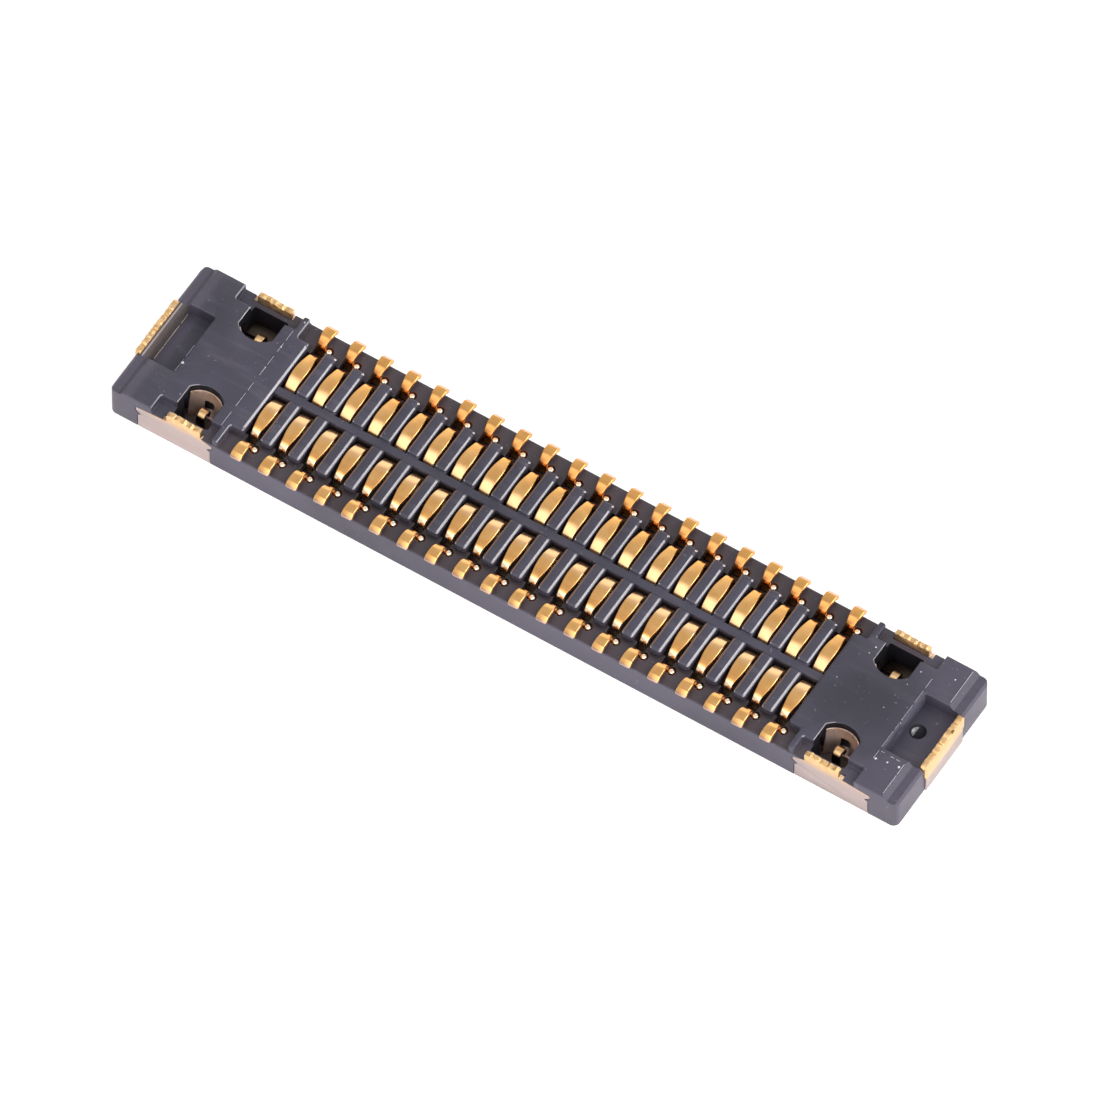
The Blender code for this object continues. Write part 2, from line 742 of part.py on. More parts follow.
def build_cover(name, side, parts, cutters, material):
    """Drawn cover over one end of the island, with a slot in each flank."""
    mesh = bmesh.new()
    add_prism(mesh, [(side * x, y) for x, y in cover_outline()], "Z", 0.0, COVER_SHEET)
    cover = new_object(name, mesh, parts)
    cover.data.materials.append(material)

    mesh = bmesh.new()
    for sign in (1, -1):
        add_arched_flank(mesh, side * WINDOW_CENTRE, sign)
    combine(cover, new_object(name + "_flanks", mesh, cutters), "UNION")

    mesh = bmesh.new()
    half = COVER_SLOT_WIDTH / 2
    outer = HEAD_FACE + COVER_DRAFT
    for sign in (1, -1):
        levels = sorted((sign * ISLAND_WIDTH / 2, sign * outer))
        centre = side * WINDOW_CENTRE
        window = rectangle(centre - half, centre + half, COVER_SHEET, COVER_SLOT_TOP)
        add_prism(mesh, window, "Y", levels[0], levels[1])
    combine(cover, new_object(name + "_slots", mesh, cutters), "DIFFERENCE")


def main():
    clear_scene()
    scene = bpy.context.scene
    parts = bpy.data.collections.new("board_to_board_receptacle")
    cutters = bpy.data.collections.new("cutters")
    scene.collection.children.link(parts)
    scene.collection.children.link(cutters)
    plastic = make_material("housing")
    gold = make_material("contact")
    plated = make_material("fitting")
    build_housing(parts, cutters, plastic)
    build_contacts(parts, gold)
    for name, side in (("left", -1), ("right", 1)):
        build_fitting("fitting_" + name, side, parts, cutters, plated)
        build_cover("island_cover_" + name, side, parts, cutters, plated)


main()
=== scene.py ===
import json
import math

import bmesh
import bpy
from mathutils import Matrix, Vector

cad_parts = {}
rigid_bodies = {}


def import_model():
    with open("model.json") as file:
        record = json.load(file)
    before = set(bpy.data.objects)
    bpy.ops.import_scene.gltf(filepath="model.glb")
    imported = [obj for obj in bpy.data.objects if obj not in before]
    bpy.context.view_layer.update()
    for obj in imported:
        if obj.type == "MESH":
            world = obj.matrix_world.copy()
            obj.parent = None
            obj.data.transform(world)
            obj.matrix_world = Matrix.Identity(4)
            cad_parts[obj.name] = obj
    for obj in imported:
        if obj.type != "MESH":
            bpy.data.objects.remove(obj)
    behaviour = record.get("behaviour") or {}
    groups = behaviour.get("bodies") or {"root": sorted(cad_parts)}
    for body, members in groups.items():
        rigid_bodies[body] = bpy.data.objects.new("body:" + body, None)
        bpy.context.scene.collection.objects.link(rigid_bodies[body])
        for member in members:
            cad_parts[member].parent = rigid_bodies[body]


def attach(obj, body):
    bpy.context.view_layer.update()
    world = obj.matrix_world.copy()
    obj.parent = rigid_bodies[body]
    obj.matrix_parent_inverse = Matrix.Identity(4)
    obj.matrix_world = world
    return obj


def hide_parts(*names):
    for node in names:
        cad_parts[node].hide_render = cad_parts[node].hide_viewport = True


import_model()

# Looks of the two-row board to board receptacle. Distances measured from the
# centre plane towards either row are called u. The near row is at -Y.

MM = 0.001
MICRON = 0.000001

# Housing, as in the solids
PITCH = 0.35 * MM
CONTACTS_PER_ROW = 20
SLOT_WIDTH = 0.21 * MM
HOUSING_WIDTH = 1.88 * MM
TOP_HEIGHT = 0.475 * MM
LEDGE_HEIGHT = 0.375 * MM
CORNER_RADIUS = 0.08 * MM
END_BAND_WIDTH = 0.125 * MM
END_STEP_RUN = 0.06 * MM
END_BAND_HEIGHT = 0.42 * MM
END_BAND_CHAMFER = 0.03 * MM
FIT = 0.005 * MM
OVERCUT = 0.05 * MM
SLOT_INNER = 0.047 * MM
BAR_TOP = 0.445 * MM
RIB_INNER = 0.062 * MM
RIB_SEAT = 0.06 * MM
PIT_DEPTH = 0.13 * MM
ROOF_THICKNESS = 0.135 * MM
SIDE_WALL = 0.34 * MM
END_WALL = 0.545 * MM
ISLAND_WIDTH = 0.34 * MM
HEAD_GAP = 0.21 * MM
HEAD_LENGTH = 0.635 * MM
HEAD_GROOVE = 0.10 * MM
END_GROOVE = 0.13 * MM
ISLAND_RECESS = 0.05 * MM
NOTCH_MARGIN = 0.01 * MM
NOTCH_REACH = 0.21 * MM
POST_GAP = 0.155 * MM
POST_LENGTH = 0.075 * MM
POST_SETBACK = 0.01 * MM
WINDOW_OFFSET = 0.36 * MM
WINDOW_WIDTH = 0.43 * MM
ARCH_INSET = 0.125 * MM
WINDOW_RISE = 0.105 * MM
WINDOW_WALL = 0.135 * MM
POCKET_WALL = 0.055 * MM
POCKET_LIP = 0.15 * MM
POCKET_WIDTH = 0.82 * MM
POCKET_DEPTH = 0.18 * MM
DIMPLE_OFFSET = 0.14 * MM
DIMPLE_Y = 0.055 * MM
DIMPLE_RADIUS = 0.095 * MM
DIMPLE_DEPTH = 0.042 * MM

# Contacts, as in the solids
STRIP = 0.05 * MM
TAIL_WIDTH = 0.117 * MM
SPRING_WIDTH = 0.155 * MM
SHOULDER_WIDTH = 0.224 * MM
SHOULDER_TOP = 0.325 * MM
TAIL_TOP = 0.495 * MM
TAIL_RADIUS = 0.10 * MM
LEG_INSET = 0.2025 * MM
INNER_LEG_SINK = 0.01 * MM
NECK_STEP = 0.009 * MM
BEND_RADIUS = 0.035 * MM
CROWN_TOP = 0.47 * MM
CROWN_OUTER_RADIUS = 0.08 * MM
CROWN_INNER_RADIUS = 0.195 * MM
ARM_GAP = 0.01 * MM
ARM_BEND_Z = 0.22 * MM
BUMP_REACH = 0.11 * MM
BUMP_Z = 0.12 * MM
ARM_END_REACH = 0.08 * MM
ARM_END_Z = 0.065 * MM
RIM_GAP = 0.0175 * MM
SADDLE_GAP = 0.025 * MM
STUB_HOLE_RADIUS = 0.052 * MM

# End fittings and island covers, as in the solids
SHEET = 0.07 * MM
SIDE_GAP = 0.22 * MM
SIDE_OVERLAP = 0.21 * MM
SIDE_SHOULDER_Z = 0.335 * MM
SIDE_BARB = 0.05 * MM
SIDE_BITE = 0.07 * MM
SIDE_STEP = 0.025 * MM
TAB_OFFSET = 0.01 * MM
TAB_WIDTH = 0.43 * MM
TAB_TOP = 0.485 * MM
RIM_PLATE_INSET = 0.15 * MM
RIM_PLATE_BORDER = 0.20 * MM
END_PLATE_WIDTH = 0.79 * MM
END_PLATE_TOP = 0.455 * MM
END_BARB_Z = 0.27 * MM
END_STEP = 0.025 * MM
END_PROUD = 0.02 * MM
GROOVE_MARGIN = 0.045 * MM
TONGUE_FOOT = 0.054 * MM
TONGUE_WIDTH = 0.095 * MM
TONGUE_TOP = 0.25 * MM
TONGUE_SPAN = 0.12 * MM
TONGUE_END_Z = 0.13 * MM
COVER_SHEET = 0.045 * MM
COVER_END_GAP = 0.03 * MM
COVER_SIDE_GAP = 0.01 * MM
FLANK_FOOT = 0.015 * MM
COVER_DRAFT = 0.07 * MM
COVER_SLOT_WIDTH = 0.125 * MM
COVER_SLOT_TOP = 0.26 * MM

# Fine edges that only the looks have
RIM_RADIUS = 0.018 * MM
SMALL_RIM = 0.009 * MM
PLAN_CORNER = 0.03 * MM
RIB_BEVEL = 0.025 * MM
FAR_RIB_BEVEL = 0.021 * MM
PLATE_BEVEL = 0.016 * MM
TIP_U = 0.972 * MM
TIP_Z = 0.415 * MM
TIP_CREASE_U = 0.917 * MM
PAD_HALF = 0.067 * MM
LEG_HALF = 0.053 * MM
CROWN_SLOPE = 8.0
CROWN_NOSE_RADIUS = 0.234 * MM
BOAT_WIDTHS = ((0.08, 0.067), (0.15, 0.0695), (0.20, 0.0715), (0.25, 0.076), (0.30, 0.078), (0.35, 0.077),
               (0.40, 0.074), (0.45, 0.067), (0.50, 0.058), (0.55, 0.050), (0.60, 0.044))
STUB_RADIUS = 0.034 * MM
STUB_TOP = 0.380 * MM
SLEEVE_TOP = 0.392 * MM
SLEEVE_THICKNESS = 0.016 * MM
RIDGE_WIDTH = 0.006 * MM
RIDGE_HEIGHT = 0.005 * MM
TEAR_DEPTH = 0.017 * MM
STRIP_EDGE = 0.011 * MM
SHEET_EDGE = 0.012 * MM
ROUND_STEPS = 4
CORNER_STEPS = 5
BEND_STEPS = 9
ARCH_STEPS = 24
CIRCLE_STEPS = 24
SHARP_ANGLE = 30.0

FIRST_CONTACT = -PITCH * (CONTACTS_PER_ROW - 1) / 2
FIELD_END = -FIRST_CONTACT + SLOT_WIDTH / 2
HEAD_START = FIELD_END + HEAD_GAP
HEAD_END = HEAD_START + HEAD_LENGTH
END_FACE = HEAD_END + END_GROOVE
HALF_LENGTH = END_FACE + END_WALL
HALF_WIDTH = HOUSING_WIDTH / 2
WALL_FACE = HALF_WIDTH - SIDE_WALL
HEAD_FACE = WALL_FACE - HEAD_GROOVE
RIB_END = WALL_FACE + RIB_SEAT
NOTCH_OUTER = END_FACE + NOTCH_MARGIN
POST_INNER = FIELD_END + POST_GAP
POST_OUTER = POST_INNER + POST_LENGTH
WINDOW_CENTRE = HEAD_START + WINDOW_OFFSET
WINDOW_ARCH = HEAD_FACE - ARCH_INSET
WINDOW_OUTER = HALF_WIDTH - WINDOW_WALL
# Where the painted highlight line along the far ribs ends
RIB_HIGHLIGHT_END = RIB_END - 0.095 * MM
POCKET_INNER = END_FACE + POCKET_WALL
POCKET_OUTER = HALF_LENGTH - POCKET_LIP
DIMPLE_X = POCKET_INNER + DIMPLE_OFFSET
SIDE_START = FIELD_END + SIDE_GAP
SIDE_END = END_FACE + SIDE_OVERLAP
TAB_CENTRE = WINDOW_CENTRE + TAB_OFFSET
RIM_PLATE_END = HALF_LENGTH - RIM_PLATE_BORDER
LEG_U = HALF_WIDTH - LEG_INSET
INNER_LEG_U = WALL_FACE - STRIP / 2 + INNER_LEG_SINK
PIT_OUTER = LEG_U + STRIP / 2 + FIT
PIT_INNER = INNER_LEG_U + STRIP / 2 - FIT
SADDLE_OUTER = LEG_U - STRIP / 2 - FIT
SADDLE_INNER = INNER_LEG_U + STRIP / 2 + FIT
STUB_X = (TAIL_WIDTH / 2 + NECK_STEP + SHOULDER_WIDTH / 2) / 2
TONGUE_U = WALL_FACE + GROOVE_MARGIN - STRIP / 2
END_PLATE_FACE = HALF_LENGTH + END_PROUD

# Camera and stage
CAMERA_AZIMUTH = 32.32
CAMERA_ELEVATION = 57.0
CAMERA_DISTANCE = 300.0 * MM
SENSOR = 36.0
IMAGE_PIXELS = 1100
PIXELS_PER_MM = 94.08
TARGET_PIXEL = (548.05, 531.3)
FLOOR_SIZE = 400.0 * MM

EMPTY_COLLECTION = "modelling"

# Moulding lines as (start, end, breaks) and specks as (x, y, radius), in mm; both are pale, and some of them are
# painted highlights along edges
FLASH_AND_HIGHLIGHT_LINES = (
    ((-3.665, 0.70), (-3.665, -0.72), ((0.10, 0.13), (0.22, 0.27), (0.36, 0.38), (0.47, 0.55), (0.63, 0.66),
                                      (0.80, 0.86))),
    ((-4.455, -0.02), (-4.455, -0.405), ((0.45, 0.52),)),
    ((4.436, 0.60), (4.436, -0.58), ((0.12, 0.15), (0.30, 0.33), (0.52, 0.56), (0.64, 0.66), (0.86, 0.9))),
    ((4.46, -0.46), (4.70, -0.465), ((0.2, 0.5), (0.7, 0.8))),
    ((4.757, 0.91), (4.757, 0.45), ()),
    ((4.757, -0.47), (4.757, -0.90), ((0.35, 0.38),)),
)
POCKET_FOOT_LINE = (-4.794, 0.38), (-4.794, -0.30), ((0.2, 0.25), (0.7, 0.72))
FLASH_AND_HIGHLIGHT_SPECKS = (
    (4.46, -0.57, 0.015), (4.59, -0.545, 0.011), (4.725, -0.53, 0.014), (4.29, 0.61, 0.009),
    (4.65, 0.72, 0.009), (4.25, 0.40, 0.007), (4.19, 0.02, 0.008), (3.57, 0.08, 0.007), (4.445, -0.05, 0.008),
    (-4.445, -0.27, 0.016), (-3.665, 0.46, 0.010), (-3.665, 0.15, 0.008), (-3.62, 0.86, 0.010),
    (-4.25, -0.62, 0.006), (-4.219, 0.70, 0.010), (-4.217, 0.545, 0.007), (3.72, 0.62, 0.010), (3.70, 0.52, 0.008),
)


def work_collection():
    found = bpy.data.collections.get(EMPTY_COLLECTION)
    if found is None:
        found = bpy.data.collections.new(EMPTY_COLLECTION)
        bpy.context.scene.collection.children.link(found)
    return found


def rectangle(low_a, high_a, low_b, high_b):
    return [(low_a, low_b), (high_a, low_b), (high_a, high_b), (low_a, high_b)]


def arc(centre, radius, start, end, steps):
    """Points on an arc, with both ends, from start to end degrees."""
    points = []
    for step in range(steps + 1):
        angle = math.radians(start + (end - start) * step / steps)
        points.append((centre[0] + radius * math.cos(angle), centre[1] + radius * math.sin(angle)))
    return points


def mirrored(points):
    return [(-first, second) for first, second in points]


def rounded(points, radius, steps=CORNER_STEPS, kept=()):
    """A closed outline with each corner turned into an arc, but for those kept."""
    result = []
    count = len(points)
    for index in range(count):
        if index in kept:
            result.append(points[index])
            continue
        corner = Vector(points[index])
        back = Vector(points[index - 1]) - corner
        ahead = Vector(points[(index + 1) % count]) - corner
        opening = back.angle(ahead)
        if opening > math.radians(175):
            result.append(tuple(corner))
            continue
        reach = radius / math.tan(opening / 2)
        reach = min(reach, 0.48 * min(back.length, ahead.length))
        used = reach * math.tan(opening / 2)
        back.normalize()
        ahead.normalize()
        centre = corner + (back + ahead).normalized() * (used / math.sin(opening / 2))
        start = corner + back * reach - centre
        sweep = start.angle_signed(corner + ahead * reach - centre)
        for step in range(steps + 1):
            turned = start.copy()
            turned.rotate(Matrix.Rotation(-sweep * step / steps, 2))
            result.append(tuple(centre + turned))
    return result


def signed_area(points):
    return sum(points[i - 1][0] * points[i][1] - points[i][0] * points[i - 1][1] for i in range(len(points))) / 2


def normal_of(dx, dy, side):
    length = math.hypot(dx, dy)
    return (side * dy / length, -side * dx / length)


def offset_outline(points, distance):
    """Move each side of a closed outline outward by a distance."""
    side = 1.0 if signed_area(points) > 0 else -1.0
    count = len(points)
    moved = []
    for index in range(count):
        px, py = points[index - 1]
        cx, cy = points[index]
        nx, ny = points[(index + 1) % count]
        before = normal_of(cx - px, cy - py, side)
        after = normal_of(nx - cx, ny - cy, side)
        scale = distance / (1.0 + before[0] * after[0] + before[1] * after[1])
        moved.append((cx + (before[0] + after[0]) * scale, cy + (before[1] + after[1]) * scale))
    return moved


def place(point, axis, level):
    first, second = point
    if axis == "X":
        return (level, first, second)
    if axis == "Y":
        return (first, level, second)
    return (first, second, level)


def signed_volume(faces):
    """Six times the volume inside faces that close a body."""
    total = 0.0
    for face in faces:
        first = face.verts[0].co
        for second, third in zip(face.verts[1:-1], face.verts[2:]):
            total += first.dot(second.co.cross(third.co))
    return total


def add_loft(mesh, rings):
    """Skin a list of rings of equal length, with a cap at each end."""
    loops = [[mesh.verts.new(point) for point in ring] for ring in rings]
    count = len(loops[0])
    faces = [mesh.faces.new(tuple(reversed(loops[0]))), mesh.faces.new(loops[-1])]
    for first, second in zip(loops, loops[1:]):
        for index in range(count):
            following = (index + 1) % count
            corners = (first[index], first[following], second[following], second[index])
            faces.append(mesh.faces.new(corners))
    if signed_volume(faces) < 0.0:
        bmesh.ops.reverse_faces(mesh, faces=faces)


def add_profile(mesh, outline, axis, profile):
    """Loft an outline through (level, offset) pairs."""
    rings = []
    for level, distance in profile:
        moved = offset_outline(outline, distance) if distance else outline
        rings.append([place(point, axis, level) for point in moved])
    add_loft(mesh, rings)


def add_prism(mesh, outline, axis, low, high):
    add_profile(mesh, outline, axis, [(low, 0.0), (high, 0.0)])


def flare(floor, rim, radius, foot=0.0):
    """Profile of a cutter whose rim is rounded and whose floor has a fillet."""
    profile = []
    if foot:
        for step in range(ROUND_STEPS + 1):
            angle = math.radians(90 * step / ROUND_STEPS)
            profile.append((floor + foot * (1 - math.cos(angle)), -foot * (1 - math.sin(angle))))
    else:
        profile.append((floor, 0.0))
    for step in range(ROUND_STEPS + 1):
        angle = math.radians(90 * step / ROUND_STEPS)
        profile.append((rim - radius + radius * math.sin(angle), radius * (1 - math.cos(angle))))
    return profile + [(rim + OVERCUT, radius)]


def bevelled(floor, top, width):
    """Profile of a solid whose top edge has a softly broken bevel."""
    return [
        (floor, 0.0),
        (top - 0.64 * width, 0.0),
        (top - 0.54 * width, -0.06 * width),
        (top - 0.06 * width, -0.90 * width),
        (top, -1.05 * width),
    ]


def bevel_cut(floor, rim, width):
    """Profile of a cutter that breaks the rim of its opening."""
    profile = [(level, -distance) for level, distance in bevelled(floor, rim, width)]
    return profile + [(rim + OVERCUT, profile[-1][1])]


def crowned(floor, top, radius):
    """Profile of a solid whose top edge is rounded."""
    profile = [(floor, 0.0)]
    for step in range(ROUND_STEPS + 1):
        angle = math.radians(90 * step / ROUND_STEPS)
        profile.append((top - radius + radius * math.sin(angle), -radius * (1 - math.cos(angle))))
    return profile


def new_object(name, mesh):
    data = bpy.data.meshes.new(name)
    mesh.to_mesh(data)
    mesh.free()
    item = bpy.data.objects.new(name, data)
    work_collection().objects.link(item)
    return item


def combine(target, other, operation):
    modifier = target.modifiers.new(operation.lower() + "_" + other.name, "BOOLEAN")
    modifier.operation = operation
    modifier.solver = "MANIFOLD"
    modifier.object = other


def baked(item, name):
    """The object's mesh with its modifiers, as a new object in the scene."""
    bpy.context.view_layer.update()
    graph = bpy.context.evaluated_depsgraph_get()
    data = bpy.data.meshes.new_from_object(item.evaluated_get(graph))
    data.name = name
    made = bpy.data.objects.new(name, data)
    bpy.context.scene.collection.objects.link(made)
    return made


def clear_work():
    """Remove the cutters and blanks that the pieces were made from."""
    collection = bpy.data.collections.get(EMPTY_COLLECTION)
    for item in list(collection.objects):
        bpy.data.objects.remove(item, do_unlink=True)
    bpy.data.collections.remove(collection)


def shade(item, angle=SHARP_ANGLE):
    """Smooth shading with sharp edges kept and flat faces kept flat."""
    data = item.data
    data.shade_smooth()
    data.set_sharp_from_angle(angle=math.radians(angle))
    weighted = item.modifiers.new("weighted_normals", "WEIGHTED_NORMAL")
    weighted.keep_sharp = True
    weighted.weight = 60


def contact_positions():
    return [FIRST_CONTACT + index * PITCH for index in range(CONTACTS_PER_ROW)]


def both_rows(points):
    return [points, [(x, -y) for x, y in points]]


def four_ways(points):
    return [half for side in (points, mirrored(points)) for half in both_rows(side)]


def on_row(points, sign):
    return [(sign * u, z) for u, z in points]


def window_outline():
    """Window over the groove: an arch at the island, straight sides outward."""
    half = WINDOW_WIDTH / 2
    radius = (half * half + WINDOW_RISE * WINDOW_RISE) / (2 * WINDOW_RISE)
    swing = math.degrees(math.asin(half / radius))
    middle = (WINDOW_CENTRE, WINDOW_ARCH + radius)
    points = arc(middle, radius, -90 - swing, -90 + swing, ARCH_STEPS)
    arch = range(len(points))
    points += [(WINDOW_CENTRE + half, WINDOW_OUTER), (WINDOW_CENTRE - half, WINDOW_OUTER)]
    return rounded(points, PLAN_CORNER * 0.8, 4, arch)


def outer_outline():
    points = []
    for sign_x, sign_y, start in ((1, 1, 0), (-1, 1, 90), (-1, -1, 180), (1, -1, 270)):
        centre = (sign_x * (HALF_LENGTH - CORNER_RADIUS), sign_y * (HALF_WIDTH - CORNER_RADIUS))
        points += arc(centre, CORNER_RADIUS, start, start + 90, BEND_STEPS)
    return points


def ledge_outline():
    """Part of one long side that is lower than the top plate, as (x, y)."""
    outer = HALF_WIDTH + OVERCUT
    notch = HALF_WIDTH - NOTCH_REACH
    post = HALF_WIDTH - POST_SETBACK
    left = [
        (-NOTCH_OUTER, outer),
        (-NOTCH_OUTER, notch),
        (-POST_OUTER, notch),
        (-POST_OUTER, post),
        (-POST_INNER, post),
        (-POST_INNER, RIB_END),
        (-FIELD_END, RIB_END),
        (-FIELD_END, WALL_FACE - RIB_SEAT),
    ]
    points = left + [(-x, y) for x, y in reversed(left)]
    return rounded(points, PLAN_CORNER * 0.8, 4)


def pit_outline():
    """Clearance of a contact in the side wall, open to the groove, as (u, z)."""
    floor = LEDGE_HEIGHT - PIT_DEPTH
    saddle = RIM_GAP + STRIP + SADDLE_GAP
    top = LEDGE_HEIGHT - SMALL_RIM
    return [
        (PIT_INNER - RIB_SEAT / 4, -OVERCUT),
        (PIT_OUTER, -OVERCUT),
        (PIT_OUTER, top),
        (PIT_INNER - RIB_SEAT / 4, top),
        (PIT_INNER - RIB_SEAT / 4, floor),
        (SADDLE_OUTER, floor),
        (SADDLE_OUTER, saddle),
        (PIT_INNER - RIB_SEAT / 4, saddle),
    ]


def side_plate_outline():
    """Outline of a side plate and its solder tab, as (x, z)."""
    tab_low = TAB_CENTRE - TAB_WIDTH / 2
    tab_high = TAB_CENTRE + TAB_WIDTH / 2
    barb_low = SIDE_SHOULDER_Z - SIDE_BARB
    bite_z = barb_low - SIDE_BARB
    foot_z = bite_z - SIDE_STEP
    return [
        (SIDE_START + SIDE_STEP, 0.0),
        (SIDE_END - SIDE_STEP, 0.0),
        (SIDE_END - SIDE_STEP, foot_z),
        (SIDE_END - SIDE_BITE, bite_z),
        (SIDE_END, barb_low),
        (SIDE_END, SIDE_SHOULDER_Z),
        (tab_high, LEDGE_HEIGHT),
        (tab_high, TAB_TOP),
        (tab_low, TAB_TOP),
        (tab_low, LEDGE_HEIGHT),
        (SIDE_START, SIDE_SHOULDER_Z - SIDE_STEP / 2),
        (SIDE_START, barb_low),
        (SIDE_START + SIDE_BITE, bite_z),
        (SIDE_START + SIDE_STEP, foot_z),
    ]


def end_plate_outline():
    """Outline of the plate on the end face, as (y, z)."""
    half = END_PLATE_WIDTH / 2
    step = END_STEP
    return [
        (-half + step, 0.0),
        (half - step, 0.0),
        (half - step, END_BARB_Z - step),
        (half, END_BARB_Z),
        (half, END_PLATE_TOP - step),
        (half - step, END_PLATE_TOP),
        (-half + step, END_PLATE_TOP),
        (-half, END_PLATE_TOP - step),
        (-half, END_BARB_Z),
        (-half + step, END_BARB_Z - step),
    ]


def rim_plate_outline():
    """Outline of the plate that lies on the mating rim, as (x, y)."""
    inner_x = END_FACE + GROOVE_MARGIN
    inner_y = WALL_FACE + GROOVE_MARGIN
    outer_y = HALF_WIDTH - SHEET / 2
    neck_y = HALF_WIDTH - RIM_PLATE_INSET
    tongue_y = END_PLATE_WIDTH / 2 - END_STEP
    outer_x = END_PLATE_FACE - SHEET / 2
    low_x = SIDE_START + SIDE_STEP
    high_x = SIDE_END - SIDE_STEP
    upper = [
        (low_x, inner_y),
        (low_x, outer_y),
        (high_x, outer_y),
        (high_x, neck_y),
        (RIM_PLATE_END, neck_y),
        (RIM_PLATE_END, tongue_y),
        (outer_x, tongue_y),
    ]
    lower = [(x, -y) for x, y in reversed(upper)]
    return upper + lower + [(inner_x, -inner_y), (inner_x, inner_y)]


def island_outline():
    """The island's two wide heads and what joins them to the field, as (x, y)."""
    half = ISLAND_WIDTH / 2
    right = [
        (HEAD_START, -half),
        (HEAD_START, -HEAD_FACE),
        (HEAD_END, -HEAD_FACE),
        (HEAD_END, HEAD_FACE),
        (HEAD_START, HEAD_FACE),
        (HEAD_START, half),
    ]
    return right + [(-x, y) for x, y in reversed(right)]


def below_seat(points):
    """Let a seat's outline run out through the bottom of the housing."""
    return [(first, -OVERCUT if second < 0.0 else second) for first, second in points]


def add_ribs(housing):
    """Bar down the middle, island teeth and the ribs between the slots."""
    mesh = bmesh.new()
    reach = FIELD_END + HEAD_GAP / 4
    bar = rectangle(-reach, reach, -SLOT_INNER, SLOT_INNER)
    add_profile(mesh, bar, "Z", crowned(ISLAND_RECESS, BAR_TOP, SMALL_RIM))
    combine(housing, new_object("bar", mesh), "UNION")

    teeth = bmesh.new()
    ribs = bmesh.new()
    half = (PITCH - SLOT_WIDTH) / 2
    for x in contact_positions()[:-1]:
        middle = x + PITCH / 2
        tooth = rectangle(middle - half, middle + half, -ISLAND_WIDTH / 2, ISLAND_WIDTH / 2)
        add_profile(teeth, tooth, "Z", crowned(ISLAND_RECESS, BAR_TOP, SMALL_RIM))
        for sign in (1, -1):
            low, high = sorted((sign * RIB_INNER, sign * RIB_END))
            rib = rounded(rectangle(middle - half, middle + half, low, high), PLAN_CORNER, 4)
            ceiling = TOP_HEIGHT - ROOF_THICKNESS
            bevel = RIB_BEVEL if sign < 0 else FAR_RIB_BEVEL
            add_profile(ribs, rib, "Z", bevelled(ceiling, TOP_HEIGHT, bevel))
    # Split the far ribs where their painted highlight line ends.
    everything = ribs.verts[:] + ribs.edges[:] + ribs.faces[:]
    bmesh.ops.bisect_plane(ribs, geom=everything, plane_co=(0.0, RIB_HIGHLIGHT_END, 0.0), plane_no=(0.0, 1.0, 0.0))
    combine(housing, new_object("teeth", teeth), "UNION")
    combine(housing, new_object("ribs", ribs), "UNION")


def cut_field(housing):
    """Open the field, then the seats of the contacts in the side walls."""
    mesh = bmesh.new()
    field = rectangle(-FIELD_END, FIELD_END, -WALL_FACE, WALL_FACE)
    add_profile(mesh, field, "Z", bevel_cut(-OVERCUT, TOP_HEIGHT, RIB_BEVEL))
    combine(housing, new_object("cut_field", mesh), "DIFFERENCE")

    add_ribs(housing)

    recesses = bmesh.new()
    pits = bmesh.new()
    mouths = bmesh.new()
    seats = bmesh.new()
    holes = bmesh.new()
    for sign in (1, -1):
        recess = rectangle(WALL_FACE - RIB_SEAT / 2, SADDLE_INNER, -OVERCUT, LEDGE_HEIGHT + RIM_RADIUS)
        seat = rectangle(SADDLE_OUTER, PIT_OUTER, -OVERCUT, SHOULDER_TOP + FIT)
        for x in contact_positions():
            half = SLOT_WIDTH / 2
            add_prism(recesses, on_row(recess, sign), "X", x - half, x + half)
            half = TAIL_WIDTH / 2 + FIT
            add_prism(pits, on_row(pit_outline(), sign), "X", x - half, x + half)
            low, high = sorted((sign * (PIT_INNER - RIB_SEAT / 4), sign * PIT_OUTER))
            mouth = rectangle(x - half, x + half, low, high)
            floor = LEDGE_HEIGHT - 2 * SMALL_RIM
            add_profile(mouths, mouth, "Z", flare(floor, LEDGE_HEIGHT, SMALL_RIM))
            half = SHOULDER_WIDTH / 2 + FIT
            add_prism(seats, on_row(seat, sign), "X", x - half, x + half)
            ring = arc((x + STUB_X, sign * LEG_U), STUB_HOLE_RADIUS, 0, 360, CIRCLE_STEPS)[:-1]
            add_profile(holes, ring, "Z", flare(SHOULDER_TOP + FIT, LEDGE_HEIGHT, SMALL_RIM))
    combine(housing, new_object("cut_recesses", recesses), "DIFFERENCE")
    combine(housing, new_object("cut_pits", pits), "DIFFERENCE")
    combine(housing, new_object("cut_mouths", mouths), "DIFFERENCE")
    combine(housing, new_object("cut_seats", seats), "DIFFERENCE")
    combine(housing, new_object("cut_holes", holes), "DIFFERENCE")


